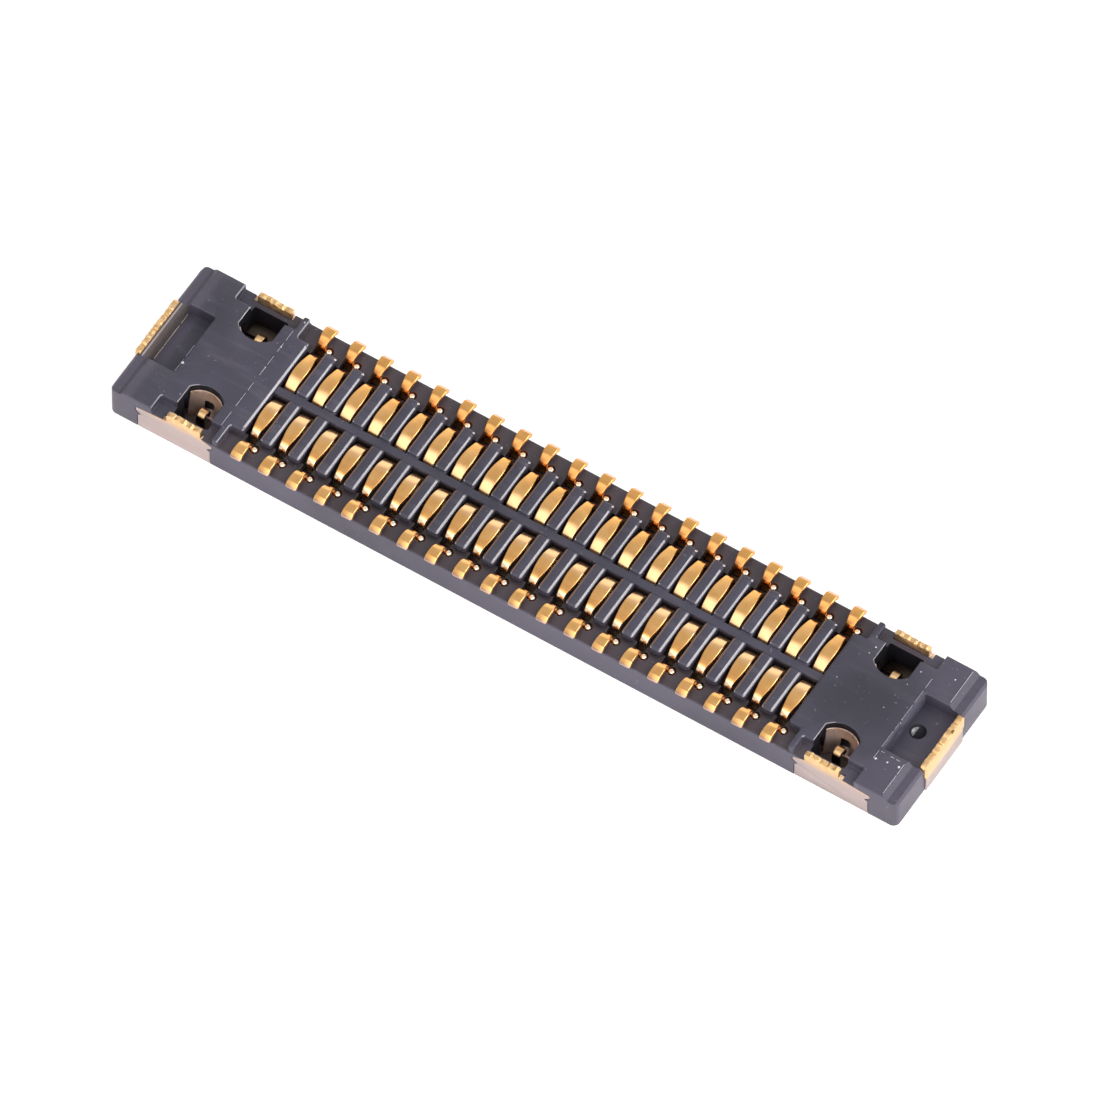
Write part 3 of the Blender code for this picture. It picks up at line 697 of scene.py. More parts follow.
def cut_ends(housing):
    """Bands, windows, pockets and the seats of the fittings at both ends."""
    top = TOP_HEIGHT + OVERCUT
    outside = HALF_LENGTH + OVERCUT

    mesh = bmesh.new()
    band = HALF_LENGTH - END_BAND_WIDTH
    run = END_STEP_RUN / (TOP_HEIGHT - END_BAND_HEIGHT)
    slope = [
        (band - run * (top - END_BAND_HEIGHT), top),
        (band, END_BAND_HEIGHT),
        (HALF_LENGTH - END_BAND_CHAMFER, END_BAND_HEIGHT),
        (outside, END_BAND_HEIGHT - END_BAND_CHAMFER - OVERCUT),
        (outside, top),
    ]
    for outline in (slope, mirrored(slope)):
        add_prism(mesh, outline, "Y", -HOUSING_WIDTH, HOUSING_WIDTH)
    combine(housing, new_object("cut_end_bands", mesh), "DIFFERENCE")

    mesh = bmesh.new()
    for outline in four_ways(window_outline()):
        add_profile(mesh, outline, "Z", bevel_cut(-OVERCUT, TOP_HEIGHT, SMALL_RIM))
    combine(housing, new_object("cut_windows", mesh), "DIFFERENCE")

    mesh = bmesh.new()
    half = POCKET_WIDTH / 2
    floor = TOP_HEIGHT - POCKET_DEPTH
    seat_x = END_PLATE_FACE - SHEET - FIT
    left = rounded(rectangle(-POCKET_OUTER, -POCKET_INNER, -half, half), PLAN_CORNER)
    right = rounded(rectangle(POCKET_INNER, seat_x + FIT, -half, half), PLAN_CORNER)
    for outline in (left, right):
        add_profile(mesh, outline, "Z", bevel_cut(floor, TOP_HEIGHT, PLATE_BEVEL))
    combine(housing, new_object("cut_pockets", mesh), "DIFFERENCE")

    mesh = bmesh.new()
    radius = (DIMPLE_RADIUS ** 2 + DIMPLE_DEPTH ** 2) / (2 * DIMPLE_DEPTH)
    bmesh.ops.create_uvsphere(mesh, u_segments=48, v_segments=48, radius=radius)
    shift = (DIMPLE_X, DIMPLE_Y, floor - DIMPLE_DEPTH + radius)
    bmesh.ops.translate(mesh, vec=shift, verts=mesh.verts)
    dome = new_object("cut_dimple", mesh)
    mesh = bmesh.new()
    keep = arc((DIMPLE_X, DIMPLE_Y), DIMPLE_RADIUS, 0, 360, CIRCLE_STEPS)[:-1]
    add_prism(mesh, keep, "Z", floor - OVERCUT, floor + SMALL_RIM)
    combine(dome, new_object("keep_dimple", mesh), "INTERSECT")
    combine(housing, dome, "DIFFERENCE")

    mesh = bmesh.new()
    plate = below_seat(offset_outline(end_plate_outline(), FIT))
    add_prism(mesh, plate, "X", seat_x, outside)
    add_prism(mesh, plate, "X", -outside, -seat_x)
    combine(housing, new_object("cut_end_plates", mesh), "DIFFERENCE")

    mesh = bmesh.new()
    side_seat = HALF_WIDTH - SHEET - FIT
    plate = below_seat(offset_outline(side_plate_outline(), FIT))
    for outline in (plate, mirrored(plate)):
        add_prism(mesh, outline, "Y", side_seat, HALF_WIDTH + OVERCUT)
        add_prism(mesh, outline, "Y", -HALF_WIDTH - OVERCUT, -side_seat)
    combine(housing, new_object("cut_side_plates", mesh), "DIFFERENCE")

    mesh = bmesh.new()
    plate = offset_outline(rim_plate_outline(), FIT)
    for outline in (plate, mirrored(plate)):
        add_prism(mesh, outline, "Z", -OVERCUT, SHEET + FIT)
    combine(housing, new_object("cut_rim_plates", mesh), "DIFFERENCE")


def add_ridge(mesh, start, end, breaks=(), level=TOP_HEIGHT):
    """Thin raised pale line on a flat face, left out at the breaks, used both for moulding lines and for painted
    highlights along edges.
    """
    start = Vector(start) * MM
    end = Vector(end) * MM
    along = (end - start).normalized()
    across = Vector((-along.y, along.x)) * RIDGE_WIDTH / 2
    marks = [0.0]
    for low, high in breaks:
        marks += [low, high]
    marks.append(1.0)
    for low, high in zip(marks[::2], marks[1::2]):
        first = start.lerp(end, low)
        last = start.lerp(end, high)
        corners = [tuple(first - across), tuple(last - across), tuple(last + across), tuple(first + across)]
        top = level + RIDGE_HEIGHT
        add_profile(mesh, corners, "Z", [(level - 2 * RIDGE_HEIGHT, 0.0), (top, -RIDGE_WIDTH * 0.3)])


def add_speck(mesh, x, y, size, level=TOP_HEIGHT):
    """Pale speck on the housing, as a flattened ball, used both for moulding burrs and for painted highlights."""
    made = bmesh.ops.create_icosphere(mesh, subdivisions=2, radius=size * MM)["verts"]
    for index, vert in enumerate(made):
        wobble = 1.0 + 0.25 * math.sin(7.0 * index + 40.0 * x)
        vert.co = Vector((vert.co.x * wobble, vert.co.y * (2.0 - wobble), vert.co.z * 0.7))
        vert.co += Vector((x * MM, y * MM, level))


def add_flash_and_highlights(housing):
    """Moulding lines and specks that catch the light on the top plate, some of them pale painted highlights on edges
    and rib corners.
    """
    mesh = bmesh.new()
    for start, end, breaks in FLASH_AND_HIGHLIGHT_LINES:
        add_ridge(mesh, start, end, breaks)
    add_ridge(mesh, *POCKET_FOOT_LINE, TOP_HEIGHT - POCKET_DEPTH)
    combine(housing, new_object("ridges", mesh), "UNION")
    mesh = bmesh.new()
    for x, y, size in FLASH_AND_HIGHLIGHT_SPECKS:
        add_speck(mesh, x, y, size)
    # Painted highlights: pale specks at the rib corners.
    for x in contact_positions()[:-1]:
        corner = (x + PITCH - SLOT_WIDTH / 2 - SMALL_RIM / 2) / MM
        add_speck(mesh, corner, (RIB_END - RIB_SEAT / 2) / MM, 0.016, TOP_HEIGHT - SMALL_RIM / 2)
        corner = (x + SLOT_WIDTH / 2 + 2 * SMALL_RIM) / MM
        add_speck(mesh, corner, (RIB_INNER + SMALL_RIM) / MM, 0.010, TOP_HEIGHT - SMALL_RIM / 2)
        add_speck(mesh, corner, -(RIB_END - SMALL_RIM) / MM, 0.009, TOP_HEIGHT - SMALL_RIM / 2)
    combine(housing, new_object("specks", mesh), "UNION")


def face_material_of(centre, normal):
    """Index of the material of a face: plain, lighter copy for painted highlights, pale copy for moulding burrs and
    painted highlights, or near-black copy for painted shade.
    """
    reach = math.hypot(centre.x - DIMPLE_X, centre.y - DIMPLE_Y)
    raised = centre.z - TOP_HEIGHT + POCKET_DEPTH
    if centre.z > TOP_HEIGHT + MICRON:
        return 2
    if abs(centre.x + POCKET_OUTER) < 2 * RIDGE_WIDTH and MICRON < raised < 2 * RIDGE_HEIGHT:
        return 2
    # Painted shade: the walls of the windows below the rim take the near-black copy.
    if abs(abs(centre.x) - WINDOW_CENTRE) < WINDOW_WIDTH / 2 + FIT and abs(centre.y) < WINDOW_OUTER + FIT:
        if centre.z < TOP_HEIGHT - 2 * SMALL_RIM and abs(normal.z) < 0.5:
            return 3
    # Painted shade in the dimple, with a painted highlight crescent on its faces that lean towards +X.
    if centre.z < TOP_HEIGHT - POCKET_DEPTH - MICRON and reach < DIMPLE_RADIUS:
        return 1 if normal.x > 0.20 and 0.035 * MM < reach < 0.07 * MM else 3
    # Painted shade on the walls of the holes round the stubs.
    along = (centre.x - FIRST_CONTACT - STUB_X + PITCH / 2) % PITCH - PITCH / 2
    if centre.z < LEDGE_HEIGHT - MICRON and math.hypot(along, abs(centre.y) - LEG_U) < STUB_HOLE_RADIUS * 1.2:
        return 3
    # The painted highlights stop short of the ends and of the far ribs' outer ends.
    if abs(centre.x) > WINDOW_CENTRE + WINDOW_WIDTH or (abs(centre.y) > WINDOW_OUTER and centre.x > 0):
        return 0
    if abs(centre.x) < FIELD_END and centre.y > RIB_HIGHLIGHT_END:
        return 0
    # Painted highlight: the lighter copy on bevels that face +X and up.
    return 1 if centre.z > TOP_HEIGHT - RIB_BEVEL and normal.x > 0.25 and normal.z > 0.12 else 0


def build_housing(materials):
    mesh = bmesh.new()
    bottom = crowned(0.0, SMALL_RIM, SMALL_RIM)[1:]
    profile = [(SMALL_RIM - level, distance) for level, distance in reversed(bottom)]
    profile += crowned(0.0, TOP_HEIGHT, RIM_RADIUS)[1:]
    add_profile(mesh, outer_outline(), "Z", profile)
    for point, normal in (
        ((WINDOW_CENTRE, 0.0, 0.0), (1.0, 0.0, 0.0)),
        ((-WINDOW_CENTRE, 0.0, 0.0), (1.0, 0.0, 0.0)),
        ((0.0, 0.0, 0.0), (0.0, 1.0, 0.0)),
    ):
        everything = mesh.verts[:] + mesh.edges[:] + mesh.faces[:]
        bmesh.ops.bisect_plane(mesh, geom=everything, plane_co=point, plane_no=normal)
    blank = new_object("housing_blank", mesh)

    mesh = bmesh.new()
    for outline in both_rows(ledge_outline()):
        add_profile(mesh, outline, "Z", flare(LEDGE_HEIGHT, TOP_HEIGHT, RIM_RADIUS, SMALL_RIM))
    combine(blank, new_object("cut_ledges", mesh), "DIFFERENCE")

    mesh = bmesh.new()
    round_off = arc((HALF_WIDTH - RIM_RADIUS, LEDGE_HEIGHT - RIM_RADIUS), RIM_RADIUS, 0, 90, ROUND_STEPS)
    corner = HALF_WIDTH + OVERCUT, LEDGE_HEIGHT + OVERCUT
    waste = [(corner[0], LEDGE_HEIGHT - RIM_RADIUS)] + round_off
    waste += [(HALF_WIDTH - RIM_RADIUS, corner[1]), corner]
    for sign in (1, -1):
        add_prism(mesh, on_row(waste, sign), "X", -POST_INNER, POST_INNER)
    combine(blank, new_object("cut_edges", mesh), "DIFFERENCE")

    mesh = bmesh.new()
    ceiling = TOP_HEIGHT - ROOF_THICKNESS
    add_prism(mesh, rectangle(-END_FACE, END_FACE, -WALL_FACE, WALL_FACE), "Z", -OVERCUT, ceiling)
    cavity = new_object("cut_cavity", mesh)
    mesh = bmesh.new()
    add_prism(mesh, island_outline(), "Z", ISLAND_RECESS, TOP_HEIGHT)
    combine(cavity, new_object("keep_island", mesh), "DIFFERENCE")
    combine(blank, cavity, "DIFFERENCE")

    cut_field(blank)
    cut_ends(blank)
    add_flash_and_highlights(blank)
    housing = baked(blank, "housing_moulding")
    housing.data.materials.clear()
    for material in materials:
        housing.data.materials.append(material)
    for face in housing.data.polygons:
        face.material_index = face_material_of(face.center, face.normal)
    shade(housing)
    return housing


def widen(points, half):
    return [(u, z, half) for u, z in points]


def boat_half(u):
    """Half width of the crown, which is widest over the middle of a boat."""
    u = u / MM
    for (low_u, low), (high_u, high) in zip(BOAT_WIDTHS, BOAT_WIDTHS[1:]):
        if u <= high_u:
            part = max(0.0, (u - low_u) / (high_u - low_u))
            return (low + (high - low) * part) * MM
    return BOAT_WIDTHS[-1][1] * MM


def contact_path():
    """Stations of a contact from the tail's tip to the end of the spring arm."""
    tail = TAIL_WIDTH / 2
    spring = SPRING_WIDTH / 2
    shoulder = SHOULDER_WIDTH / 2
    foot_z = TAIL_TOP - STRIP / 2
    rim_z = RIM_GAP + STRIP / 2
    crown_z = CROWN_TOP - STRIP / 2
    arm_u = SLOT_INNER + ARM_GAP + STRIP / 2
    inner_u = INNER_LEG_U
    slope = (TIP_U - TIP_CREASE_U) / 6
    drop = (foot_z - TIP_Z) / 6
    path = [
        (TIP_U, TIP_Z, PAD_HALF * 0.93),
        (TIP_U - slope, TIP_Z + drop, PAD_HALF),
        (TIP_CREASE_U + slope, foot_z - drop, PAD_HALF),
        (TIP_CREASE_U + slope * 0.3, foot_z - drop * 0.15, PAD_HALF),
        (TIP_CREASE_U - slope, foot_z, PAD_HALF),
        (LEG_U + TAIL_RADIUS * 1.25, foot_z, PAD_HALF),
    ]
    for step in range(BEND_STEPS + 1):
        angle = math.radians(90 * step / BEND_STEPS)
        u = LEG_U + TAIL_RADIUS * (1 - math.sin(angle))
        half = LEG_HALF + (PAD_HALF * 0.97 - LEG_HALF) * max(0.0, 1 - 2.2 * step / BEND_STEPS)
        path.append((u, foot_z - TAIL_RADIUS * (1 - math.cos(angle)), half))
    neck = tail + NECK_STEP
    path += [
        (LEG_U, SHOULDER_TOP + FIT, tail),
        (LEG_U, SHOULDER_TOP + FIT / 2, neck),
        (LEG_U, SHOULDER_TOP, shoulder),
        (LEG_U, rim_z + BEND_RADIUS + STRIP, shoulder),
        (LEG_U, rim_z + BEND_RADIUS + STRIP / 2, tail),
    ]
    path += widen(arc((LEG_U - BEND_RADIUS, rim_z + BEND_RADIUS), BEND_RADIUS, 0, -90, 5), tail)
    path += widen(arc((inner_u + BEND_RADIUS, rim_z + BEND_RADIUS), BEND_RADIUS, -90, -180, 5), tail)
    path.append((inner_u, crown_z - CROWN_OUTER_RADIUS * 1.8, LEG_HALF))
    flat_end = arm_u + CROWN_INNER_RADIUS
    reach = inner_u - CROWN_OUTER_RADIUS - flat_end
    slope = math.radians(CROWN_SLOPE)
    fall = reach * math.tan(slope) / 2
    centre = (inner_u - CROWN_OUTER_RADIUS, crown_z - fall - CROWN_OUTER_RADIUS)
    outer = arc(centre, CROWN_OUTER_RADIUS, 0, 90 - CROWN_SLOPE, BEND_STEPS)
    flat = [(flat_end + reach * part / 7, crown_z - fall * (part / 7) ** 2) for part in range(6, 0, -1)]
    inner = arc((flat_end, crown_z - CROWN_NOSE_RADIUS), CROWN_NOSE_RADIUS, 90, 138, 9)
    nose = inner[-1]
    turn = math.radians(138)
    middle = (nose[0] - BEND_RADIUS * math.cos(turn), nose[1] - BEND_RADIUS * math.sin(turn))
    inner += arc(middle, BEND_RADIUS, 138, 176, 6)[1:]
    path += [(u, z, boat_half(u)) for u, z in outer + flat + inner]
    path += [
        (arm_u + STRIP / 8, ARM_BEND_Z + STRIP, spring),
        (arm_u, ARM_BEND_Z + STRIP / 4, spring),
        (arm_u + BUMP_REACH * 0.08, ARM_BEND_Z - STRIP / 4, spring),
        (arm_u + BUMP_REACH * 0.93, BUMP_Z + STRIP / 5, tail),
        (arm_u + BUMP_REACH, BUMP_Z, tail),
        (arm_u + BUMP_REACH * 0.97, BUMP_Z - STRIP / 5, tail),
        (arm_u + ARM_END_REACH, ARM_END_Z, tail),
    ]
    return path


def strip_section(half, inset=0.0):
    """Section of a strip with rounded edges, as (across, through)."""
    corners = rectangle(-half + inset, half - inset, -STRIP / 2 + inset, STRIP / 2 - inset)
    return rounded(corners, STRIP_EDGE, 3)


def add_strip(mesh, path, shift=0.0):
    """Sweep the strip's section along (u, z, half width) stations."""
    clean = [path[0]]
    for station in path[1:]:
        if math.dist(station[:2], clean[-1][:2]) > 0.2 * MICRON:
            clean.append(station)
    rings = []
    last = len(clean) - 1
    for index, (u, z, half) in enumerate(clean):
        before = clean[max(index - 1, 0)]
        after = clean[min(index + 1, last)]
        start = normal_of(u - before[0], z - before[1], 1.0) if index else None
        end = normal_of(after[0] - u, after[1] - z, 1.0) if index < last else None
        start = start or end
        end = end or start
        scale = 1.0 / (1.0 + start[0] * end[0] + start[1] * end[1])
        du = (start[0] + end[0]) * scale
        dz = (start[1] + end[1]) * scale
        section = strip_section(half)
        ring = [(shift + across, u + through * du, z + through * dz) for across, through in section]
        if index in (0, last):
            inward = 1.0 if index == 0 else -1.0
            along = (-dz * inward, du * inward)
            small = strip_section(half, STRIP_EDGE * 0.5)
            cap = [(shift + a, u + t * du, z + t * dz) for a, t in small]
            step = STRIP_EDGE * 0.6
            deeper = [(x, y + along[0] * step, h + along[1] * step) for x, y, h in ring]
            rings += [cap, deeper] if index == 0 else [deeper, cap]
        else:
            rings.append(ring)
    add_loft(mesh, rings)


def build_contacts(material):
    """One strip for each contact, sharing one mesh for each row."""
    made = []
    for row, sign in (("near", -1), ("far", 1)):
        mesh = bmesh.new()
        add_strip(mesh, contact_path())
        strip = new_object("strip_blank_" + row, mesh)
        mesh = bmesh.new()
        ring = arc((STUB_X, LEG_U), STUB_RADIUS, 0, 360, 20)[:-1]
        add_profile(mesh, ring, "Z", crowned(SHOULDER_TOP - STRIP / 2, STUB_TOP, STUB_RADIUS * 0.6))
        combine(strip, new_object("stub_" + row, mesh), "UNION")
        whole = baked(strip, "strip_" + row)
        data = whole.data
        bpy.data.objects.remove(whole)
        mesh = bmesh.new()
        mesh.from_mesh(data)
        for vert in mesh.verts:
            vert.co.y *= sign
        if sign < 0:
            bmesh.ops.reverse_faces(mesh, faces=mesh.faces)
        mesh.to_mesh(data)
        mesh.free()
        data.materials.clear()
        data.materials.append(material)
        for index, x in enumerate(contact_positions()):
            name = "%s_%02d" % (row, index + 1)
            item = bpy.data.objects.new("strip_" + name, data)
            item.location = (x, 0.0, 0.0)
            bpy.context.scene.collection.objects.link(item)
            shade(item, 40.0)
            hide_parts("contact_" + name)
            made.append(item)
    return made


def tongue_path():
    """Spring tongue of a fitting: up beside the wall, over and down."""
    half = TONGUE_WIDTH / 2
    radius = TONGUE_SPAN / 2
    level = SHEET / 2
    middle = (TONGUE_U - radius, TONGUE_TOP - STRIP / 2 - radius)
    path = [(TONGUE_U + TONGUE_FOOT, level, half)]
    path += widen(arc((TONGUE_U + BEND_RADIUS, level + BEND_RADIUS), BEND_RADIUS, -90, -180, 5), half)
    path += widen(arc(middle, radius, 0, 180, 14), half)
    path.append((TONGUE_U - TONGUE_SPAN, TONGUE_END_Z, half))
    return path


def sheet_profile(low, high):
    """Levels of a sheared sheet with slightly rolled edges."""
    edge = SHEET_EDGE
    return [
        (low, -edge * 0.7),
        (low + edge * 0.3, -edge * 0.2),
        (low + edge, 0.0),
        (high - edge, 0.0),
        (high - edge * 0.3, -edge * 0.2),
        (high, -edge * 0.7),
    ]


def ragged(start, end, count, depth, seed):
    """Points along an edge that is torn by up to a depth, without its ends."""
    points = []
    for step in range(1, count):
        part = step / count
        tear = 0.5 * math.sin(seed + 2.3 * step) + 0.5 * math.sin(1.7 * seed + 5.9 * step)
        points.append((
            start[0] + (end[0] - start[0]) * part - (end[1] - start[1]) / math.dist(start, end) * tear * depth,
            start[1] + (end[1] - start[1]) * part + (end[0] - start[0]) / math.dist(start, end) * tear * depth,
        ))
    return points


def torn_outline(points, first, last, count, seed):
    """An outline whose side from one corner to the next one is torn."""
    corners = rounded(points, SHEET_EDGE, 2)
    start = (first + 1) * 3 - 1
    tear = ragged(corners[start], corners[start + 1], count, TEAR_DEPTH, seed)
    return corners[:start + 1] + tear + corners[start + 1:] if last == first + 1 else corners


def build_fitting(side, name, material):
    """One stamped end fitting: rim plate, end plate, side plates, tongues."""
    mesh = bmesh.new()
    rim = rounded([(side * x, y) for x, y in rim_plate_outline()], SHEET_EDGE, 2)
    add_profile(mesh, rim, "Z", sheet_profile(0.0, SHEET))
    blank = new_object("fitting_blank_" + name, mesh)

    mesh = bmesh.new()
    low, high = sorted((side * END_PLATE_FACE, side * (END_PLATE_FACE - SHEET)))
    plate = torn_outline(end_plate_outline(), 5, 6, 26, side * 1.3)
    add_profile(mesh, plate, "X", sheet_profile(low, high))
    combine(blank, new_object("end_plate_" + name, mesh), "UNION")

    mesh = bmesh.new()
    outline = torn_outline([(side * x, z) for x, z in side_plate_outline()], 7, 8, 14, side * 2.1)
    add_profile(mesh, outline, "Y", sheet_profile(HALF_WIDTH - SHEET, HALF_WIDTH))
    add_profile(mesh, outline, "Y", sheet_profile(-HALF_WIDTH, -HALF_WIDTH + SHEET))
    combine(blank, new_object("side_plates_" + name, mesh), "UNION")

    mesh = bmesh.new()
    add_strip(mesh, tongue_path(), side * WINDOW_CENTRE)
    add_strip(mesh, [(-u, z, half) for u, z, half in tongue_path()], side * WINDOW_CENTRE)
    combine(blank, new_object("tongues_" + name, mesh), "UNION")

    fitting = baked(blank, "end_fitting_" + name)
    fitting.data.materials.clear()
    fitting.data.materials.append(material)
    shade(fitting, 40.0)
    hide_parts("fitting_" + name)
    return fitting


def add_arched_flank(mesh, centre, sign):
    """Arched flank of an island cover, leaning out towards its foot."""
    half = WINDOW_WIDTH / 2
    radius = (half * half + WINDOW_RISE * WINDOW_RISE) / (2 * WINDOW_RISE)
    outer = radius - FIT
    inner = outer - SLEEVE_THICKNESS
    swing = math.degrees(math.asin((half - FIT) / outer))
    rings = []
    edge = SHEET_EDGE * 0.4
    for level, lean, shrink in (
        (FLANK_FOOT, COVER_DRAFT, 0.0),
        (SLEEVE_TOP - edge, 0.0, 0.0),
        (SLEEVE_TOP - edge * 0.3, 0.0, edge * 0.3),
        (SLEEVE_TOP, 0.0, edge),
    ):
        middle = (centre, WINDOW_ARCH + radius + lean)
        points = arc(middle, outer - shrink, -90 - swing, -90 + swing, ARCH_STEPS)
        points += arc(middle, inner + shrink, -90 + swing, -90 - swing, ARCH_STEPS)
        rings.append([(x, sign * y, level) for x, y in points])
    add_loft(mesh, rings)


def build_cover(side, name, material):
    """Drawn cover over one end of the island, with a slot in each flank."""
    mesh = bmesh.new()
    low_x = HEAD_START + COVER_END_GAP
    high_x = HEAD_END - COVER_SIDE_GAP
    half = HEAD_FACE - COVER_SIDE_GAP
    outline = rounded(rectangle(*sorted((side * low_x, side * high_x)), -half, half), SHEET_EDGE, 3)
    add_profile(mesh, outline, "Z", sheet_profile(0.0, COVER_SHEET))
    blank = new_object("cover_blank_" + name, mesh)

    mesh = bmesh.new()
    for sign in (1, -1):
        add_arched_flank(mesh, side * WINDOW_CENTRE, sign)
    combine(blank, new_object("flanks_" + name, mesh), "UNION")

    mesh = bmesh.new()
    half = COVER_SLOT_WIDTH / 2
    outer = HEAD_FACE + COVER_DRAFT
    for sign in (1, -1):
        low, high = sorted((sign * ISLAND_WIDTH / 2, sign * outer))
        centre = side * WINDOW_CENTRE
        window = rounded(rectangle(centre - half, centre + half, COVER_SHEET, COVER_SLOT_TOP), PLAN_CORNER, 4)
        add_prism(mesh, window, "Y", low, high)
    combine(blank, new_object("slots_" + name, mesh), "DIFFERENCE")

    cover = baked(blank, "island_sleeve_" + name)
    cover.data.materials.clear()
    cover.data.materials.append(material)
    shade(cover, 40.0)
    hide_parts("island_cover_" + name)
    return cover


def node(tree, kind, inputs=None, **settings):
    item = tree.nodes.new(kind)
    for key, value in settings.items():
        setattr(item, key, value)
    for key, value in (inputs or {}).items():
        if isinstance(value, bpy.types.NodeSocket):
            tree.links.new(value, item.inputs[key])
        else:
            item.inputs[key].default_value = value
    return item


def maths(tree, operation, first, second=0.0, clamp=False):
    return node(tree, "ShaderNodeMath", {0: first, 1: second}, operation=operation, use_clamp=clamp).outputs[0]


def ramp(tree, value, low, high, to_low=0.0, to_high=1.0):
    """Smooth step of a value from one range to another."""
    inputs = {"Value": value, "From Min": low, "From Max": high, "To Min": to_low, "To Max": to_high}
    return node(tree, "ShaderNodeMapRange", inputs, interpolation_type="SMOOTHSTEP").outputs[0]


def mixed(tree, factor, first, second, blend="MIX"):
    """Mix two colours."""
    inputs = {0: factor, 6: first, 7: second}
    return node(tree, "ShaderNodeMix", inputs, data_type="RGBA", blend_type=blend).outputs[2]


def millimetres(tree, scale=(1.0, 1.0, 1.0)):
    """Object coordinates in millimetres, stretched by a scale."""
    source = node(tree, "ShaderNodeTexCoord").outputs["Object"]
    stretch = tuple(1000.0 * value for value in scale)
    return node(tree, "ShaderNodeMapping", {"Vector": source, "Scale": stretch}).outputs[0]


def grain(tree, vector, scale, detail=2.0, roughness=0.5):
    inputs = {"Vector": vector, "Scale": scale, "Detail": detail, "Roughness": roughness}
    return node(tree, "ShaderNodeTexNoise", inputs).outputs[0]


def bumped(tree, height, depth, strength=1.0, normal=None):
    inputs = {"Height": height, "Distance": depth, "Strength": strength}
    if normal is not None:
        inputs["Normal"] = normal
    return node(tree, "ShaderNodeBump", inputs).outputs[0]


def new_material(name):
    material = bpy.data.materials.new(name)
    material.use_nodes = True
    tree = material.node_tree
    return material, tree, tree.nodes["Principled BSDF"]


